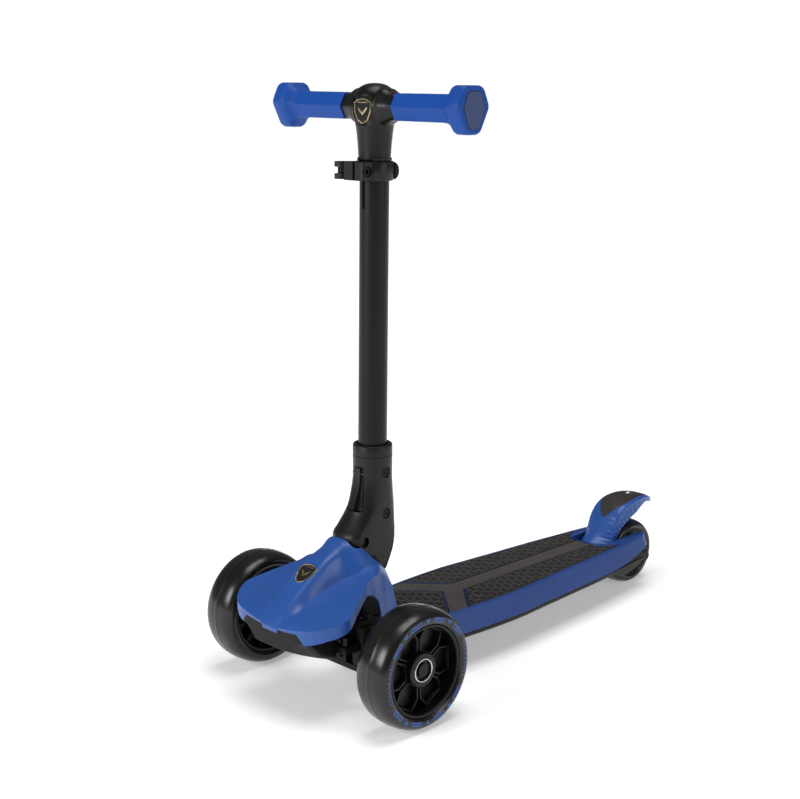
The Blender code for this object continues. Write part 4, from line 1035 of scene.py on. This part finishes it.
def clamp():
    """The height clamp: a split collar with ears, its bolt, and the lever that wraps round it."""
    mid = -CLAMP_BELOW_BAR
    low, high = mid - CLAMP_HALF_HEIGHT, mid + CLAMP_HALF_HEIGHT
    inner = STEM_RADIUS + 0.3
    profile = [(18.0, high), (18.7, high - 1.2), (18.9, mid), (18.7, low + 1.2), (18.0, low), (inner, low),
               (inner, high)]
    collar = turned("collar", profile, 72, STEM_PLACE, BLACK_SATIN)
    ears = fillet([(-15.3, -27.5), (13.6, -27.5), (13.6, -15.2), (-15.3, -15.2)], [2.5, 4.5, 1, 1], 4)
    carve(collar, block("ears", ears, low + 0.4, high - 0.4), operation="UNION")
    bore = block("bore", arc(inner, 0, 350, 35), low - 1, high + 1)
    slit = block("slit", [(-1.5, -30), (1.5, -30), (1.5, -12), (-1.5, -12)], low - 1, high + 1)
    start, end = (STEM_PLACE @ Vector((x * MM, CLAMP_PIN[1] * MM, mid * MM)) for x in (8.0, 20))
    carve(collar, bore, slit, rod("seat", 5.2, start, end, sides=40))
    soften(collar, 0.6, 3, 40)
    finish_piece(collar, "neck", "black_gloss", "clamp_collar")

    bulge = spline(arc(23.9, 188, 46, 14), 2)
    outline = [(p.x, p.y) for p in bulge] + arc(19.5, 46, 200, 20) + arc(7.2, 60, -210, 18, CLAMP_PIN)
    rings = []
    for z, pull in LEVER_LEVELS:                       # the outside is drawn in, but not round the pin
        ring = []
        for x, y in outline:
            reach = math.hypot(x, y)
            outside = unit((reach - 20.4) / 2.6)
            off_pin = unit((math.hypot(x - CLAMP_PIN[0], y - CLAMP_PIN[1]) - 8) / 8)
            less = pull * outside * off_pin / reach
            ring.append((x * (1 - less), y * (1 - less)))
        rings.append(flat(ring, mid + z))
    lever = skin("clamp_handle", rings, BLACK_SATIN, place=STEM_PLACE, smooth=50)
    fork = [(-40, -29.5), (-15.5, -29.5), (-15.5, -14.5), (-40, -14.5)]
    carve(lever, block("fork", fork, mid - 3.3, mid + 3.3), smooth=50)
    soften(lever, 0.3, 2, 50)
    finish_piece(lever, "clamp", "black_gloss", "clamp_lever")


# ---- handlebar

HEX = ((1.0, 0.0), (0.55, 1.0), (-0.55, 1.0), (-1.0, 0.0), (-0.55, -1.0), (0.55, -1.0))
FLARED = ((1.0, 0.14), (0.6, 1.0), (-0.6, 1.0), (-1.0, 0.14), (-0.42, -1.0), (0.42, -1.0))

GRIP_STATIONS = (  # distance along the bar, half depth, half height, share of the flared shape
    (35.0, 13.9, 12.0, 0), (36.0, 14.6, 12.7, 0), (60, 14.7, 12.8, 0), (85, 14.7, 12.8, 0),
    (99, 14.8, 12.8, 0), (104.5, 15.3, 13.4, 0.25), (108.5, 17.4, 15.8, 0.7), (111.5, 19.8, 18.9, 1),
    (113.6, 21.2, 21.1, 1), (116, 21.8, 22.1, 1), (127.0, 21.8, 22.1, 1), (129.2, 20.9, 21.3, 1),
    (130.2, 19.4, 19.9, 1))


def bar_ring(x, shape, half_depth, half_height, lift=0.0, round_off=3.0):
    """A rounded six-sided section across the bar, from STEM_PLACE."""
    outline = fillet([(a * half_depth, b * half_height + lift) for a, b in shape], round_off, 5)
    return [STEM_PLACE @ Vector((x * MM, y * MM, z * MM)) for y, z in outline]


def grip(side, label):
    """A moulded grip: six flats, a flared shield-shaped end, and a cap let into it."""
    rings = []
    for x, depth, height, turn in GRIP_STATIONS:
        shape = [(a + (c - a) * turn, b + (d - b) * turn) for (a, b), (c, d) in zip(HEX, FLARED)]
        rings.append(bar_ring(side * x, shape, depth, height, -1.0 * turn, 2.0 + 6.5 * turn))
    sleeve = skin("grip_sleeve_" + label, rings, GRIP_BLUE, smooth=25)
    start, end = (STEM_PLACE @ Vector((side * x * MM, 0, 0)) for x in (30, 122.6))
    carve(sleeve, rod("bore", 9.3, start, end), smooth=25)
    finish_piece(sleeve, "bar", "grip_blue", "grip_" + label)

    rings = [bar_ring(side * x, FLARED, 14.6, 17.3, -1.1, 6.5) for x in (129.6, 130.36)]
    finish_piece(skin("cap_line_" + label, rings, ENAMEL), "bar", "grip_blue")
    rings = [bar_ring(side * x, FLARED, 14.0 - s, 16.7 - s, -1.1, 6.2)
             for x, s in ((129.8, 0), (130.5, 0), (130.8, 0.3))]
    cap = skin("cap_face_" + label, rings, CAP_BLUE)
    finish_piece(cap, "bar", "grip_blue", "grip_cap_" + label)


def t_bar():
    """The cast T-piece: a turned body blended into two six-sided stubs."""
    profile = ((0.01, 22.0), (5, 21.7), (10, 20.6), (15, 17.9), (19, 13), (21, 6.4), (21.6, -1),
               (20.6, -8), (19, -16), (17.6, -25), (16.6, -35), (16, -44), (15.8, -52.5), (0.01, -52.5))
    body = turned("t_casting", profile, 72, STEM_PLACE, BLACK_GLOSS)
    swell = ((34.4, 13.6, 11.9, 4), (30, 14.0, 12.4, 6), (25, 15.2, 14.2, 7.5), (20, 17, 17, 9),
             (0, 19, 19, 9))
    swell = [(-x, *rest) for x, *rest in swell[:-1]] + list(reversed(swell))
    stubs = skin("stubs", [bar_ring(x, HEX, d, h, 0, r) for x, d, h, r in swell])
    carve(body, stubs, operation="UNION")
    melt = body.modifiers.new("casting", "REMESH")
    melt.mode = "VOXEL"
    melt.voxel_size = 0.9 * MM
    melt.use_smooth_shade = True
    ease = body.modifiers.new("eased", "SMOOTH")
    ease.factor = 0.5
    ease.iterations = 22
    bake(body)
    carve(body, block("seat", [(-12.2, -40), (12.2, -40), (12.2, -15.6), (-12.2, -15.6)], -18, 9.4))
    body.data.materials.clear()
    body.data.materials.append(BLACK_GLOSS)
    finish_piece(body, "bar", "black_gloss", "t_bar")
    profile = [(17.1, -48.8), (17.1, -50.6), (16.8, -51), (12.6, -51), (12.6, -48.8)]
    finish_piece(turned("t_rim", profile, 72, STEM_PLACE, BLACK_GLOSS), "bar", "black_gloss")


def bar_badge():
    place = STEM_PLACE @ Matrix.Translation((0, -15.2 * MM, -3.2 * MM)) \
        @ Matrix.Rotation(math.pi / 2, 4, "X") @ Matrix.Diagonal((1.22, 1, 1, 1))
    shield("bar_badge", place, 1.07, 1.6, "bar", "bar_badge")


# ---- CAD pieces that stay

KEPT = {
    BLACK_MATTE: ("chassis", "knuckle_left", "knuckle_right", "brake_shoe"),
    STEEL: ("brake_pin", "release_pin", "clamp_pin", "deck_screw_left", "deck_screw_right"),
    DARK_BOLT: ("rear_axle", "front_axle_left", "front_axle_right", "clamp_bolt", "tie_rod",
                "kingpin_left", "kingpin_right", "fold_pin", "front_bearings_left",
                "front_bearings_right"),
    SILVER: ("rear_bearing_left", "rear_bearing_right"),
    CHROME: ("inner_tube", "handle_tube"),
}


def dress_kept():
    for mat, names in KEPT.items():
        for name in names:
            node = NODES[name]
            if not node.material_slots:
                node.data.materials.append(mat)
            for slot in node.material_slots:
                slot.material = mat
    for name in ("chassis", "knuckle_left", "knuckle_right", "kingpin_left", "kingpin_right"):
        soften(NODES[name], 0.8, 2, 40)


# ---- studio

FLOOR_RADIUS, DOME_RADIUS = 9, 8.8
DOME_FOOT = -4                                         # the dome starts this many degrees down
DOME_ROWS, DOME_SIDES = 12, 48
CAMERA_SPOT = at(1056, -933, 623.5)
CAMERA_TARGET = at(0.5, 94.5, 287.5)
FOCAL_LENGTH, SENSOR_WIDTH = 66.75, 36
LIGHT_TARGET = (0, 0, 0.25)


def area_light(name, place, width, height, power):
    light = bpy.data.lights.new(name, "AREA")
    light.shape = "RECTANGLE"
    light.size, light.size_y = width, height
    light.energy = power
    obj = bpy.data.objects.new(name, light)
    bpy.context.scene.collection.objects.link(obj)
    obj.location = place
    obj.rotation_euler = (Vector(LIGHT_TARGET) - Vector(place)).to_track_quat("-Z", "Y").to_euler()


def studio():
    """A pale floor that glows to white far from the scooter, a white dome, three lights, the camera."""
    scene = bpy.context.scene
    world = bpy.data.worlds.new("studio")
    scene.world = world
    world.use_nodes = True
    feed(world, world.node_tree.nodes["Background"], {"Color": (1.0, 1.0, 1.0, 1), "Strength": 0.16})
    scene.view_settings.view_transform = "Standard"

    bm = bmesh.new()
    bmesh.ops.create_circle(bm, cap_ends=True, segments=96, radius=FLOOR_RADIUS)
    paper = surface("floor_paper", (0.9, 0.9, 0.9), 0.85, 0.01, 3, 400, 0.05, 0.1)
    floor = to_object("floor", bm, paper)
    floor.location.z = -0.4 * MM
    far = add_node(paper, "VectorMath", {0: add_node(paper, "TexCoord", {}).outputs["Object"]},
                   operation="LENGTH")
    fade = add_node(paper, "MapRange", {"Value": far.outputs["Value"], "From Min": 0.3, "From Max": 2.6,
                                        "To Min": 0.32, "To Max": 1.0})
    feed(paper, paper.node_tree.nodes["Principled BSDF"],
         {"Emission Color": (1, 1, 1, 1), "Emission Strength": fade.outputs["Result"]})

    rings = []
    for k in range(DOME_ROWS + 1):
        t = math.radians(DOME_FOOT + (90 - DOME_FOOT) * k / DOME_ROWS)
        radius, height = DOME_RADIUS * math.cos(t), DOME_RADIUS * math.sin(t)
        rings.append([Vector((radius * math.cos(a), radius * math.sin(a), height))
                      for a in (2 * math.pi * j / DOME_SIDES for j in range(DOME_SIDES))])
    glow, shader = new_material("backdrop_white")
    feed(glow, shader, {"Base Color": (0, 0, 0, 1), "Emission Color": (1, 1, 1, 1),
                        "Emission Strength": 0.97})
    dome = skin("backdrop", rings, glow, caps=False)
    for flag in ("visible_diffuse", "visible_glossy", "visible_transmission", "visible_shadow"):
        setattr(dome, flag, False)

    area_light("key", (-0.5, -2.4, 1.1), 1.0, 1.0, 34)
    area_light("side", (2.6, 0.6, 1.2), 0.9, 1.2, 16)
    area_light("top", (0.2, 0.0, 2.6), 1.6, 1.6, 42)

    lens = bpy.data.cameras.new("camera")
    lens.lens = FOCAL_LENGTH
    lens.sensor_width = SENSOR_WIDTH
    camera = bpy.data.objects.new("camera", lens)
    scene.collection.objects.link(camera)
    camera.location = CAMERA_SPOT
    camera.rotation_euler = (CAMERA_TARGET - CAMERA_SPOT).to_track_quat("-Z", "Y").to_euler()
    scene.camera = camera


# ---- assembly

deck_shell()
tread_rib()
treads()
centre_strip()
under_tray()
hood()
front_bumper()
hood_badge()
front_wheel(1, "left", "wheel_l")
front_wheel(-1, "right", "wheel_r")
rear_wheel()
fender()
foot_pad()
neck()
release_lever()
stem_tube()
clamp()
grip(1, "left")
grip(-1, "right")
t_bar()
bar_badge()
dress_kept()
studio()
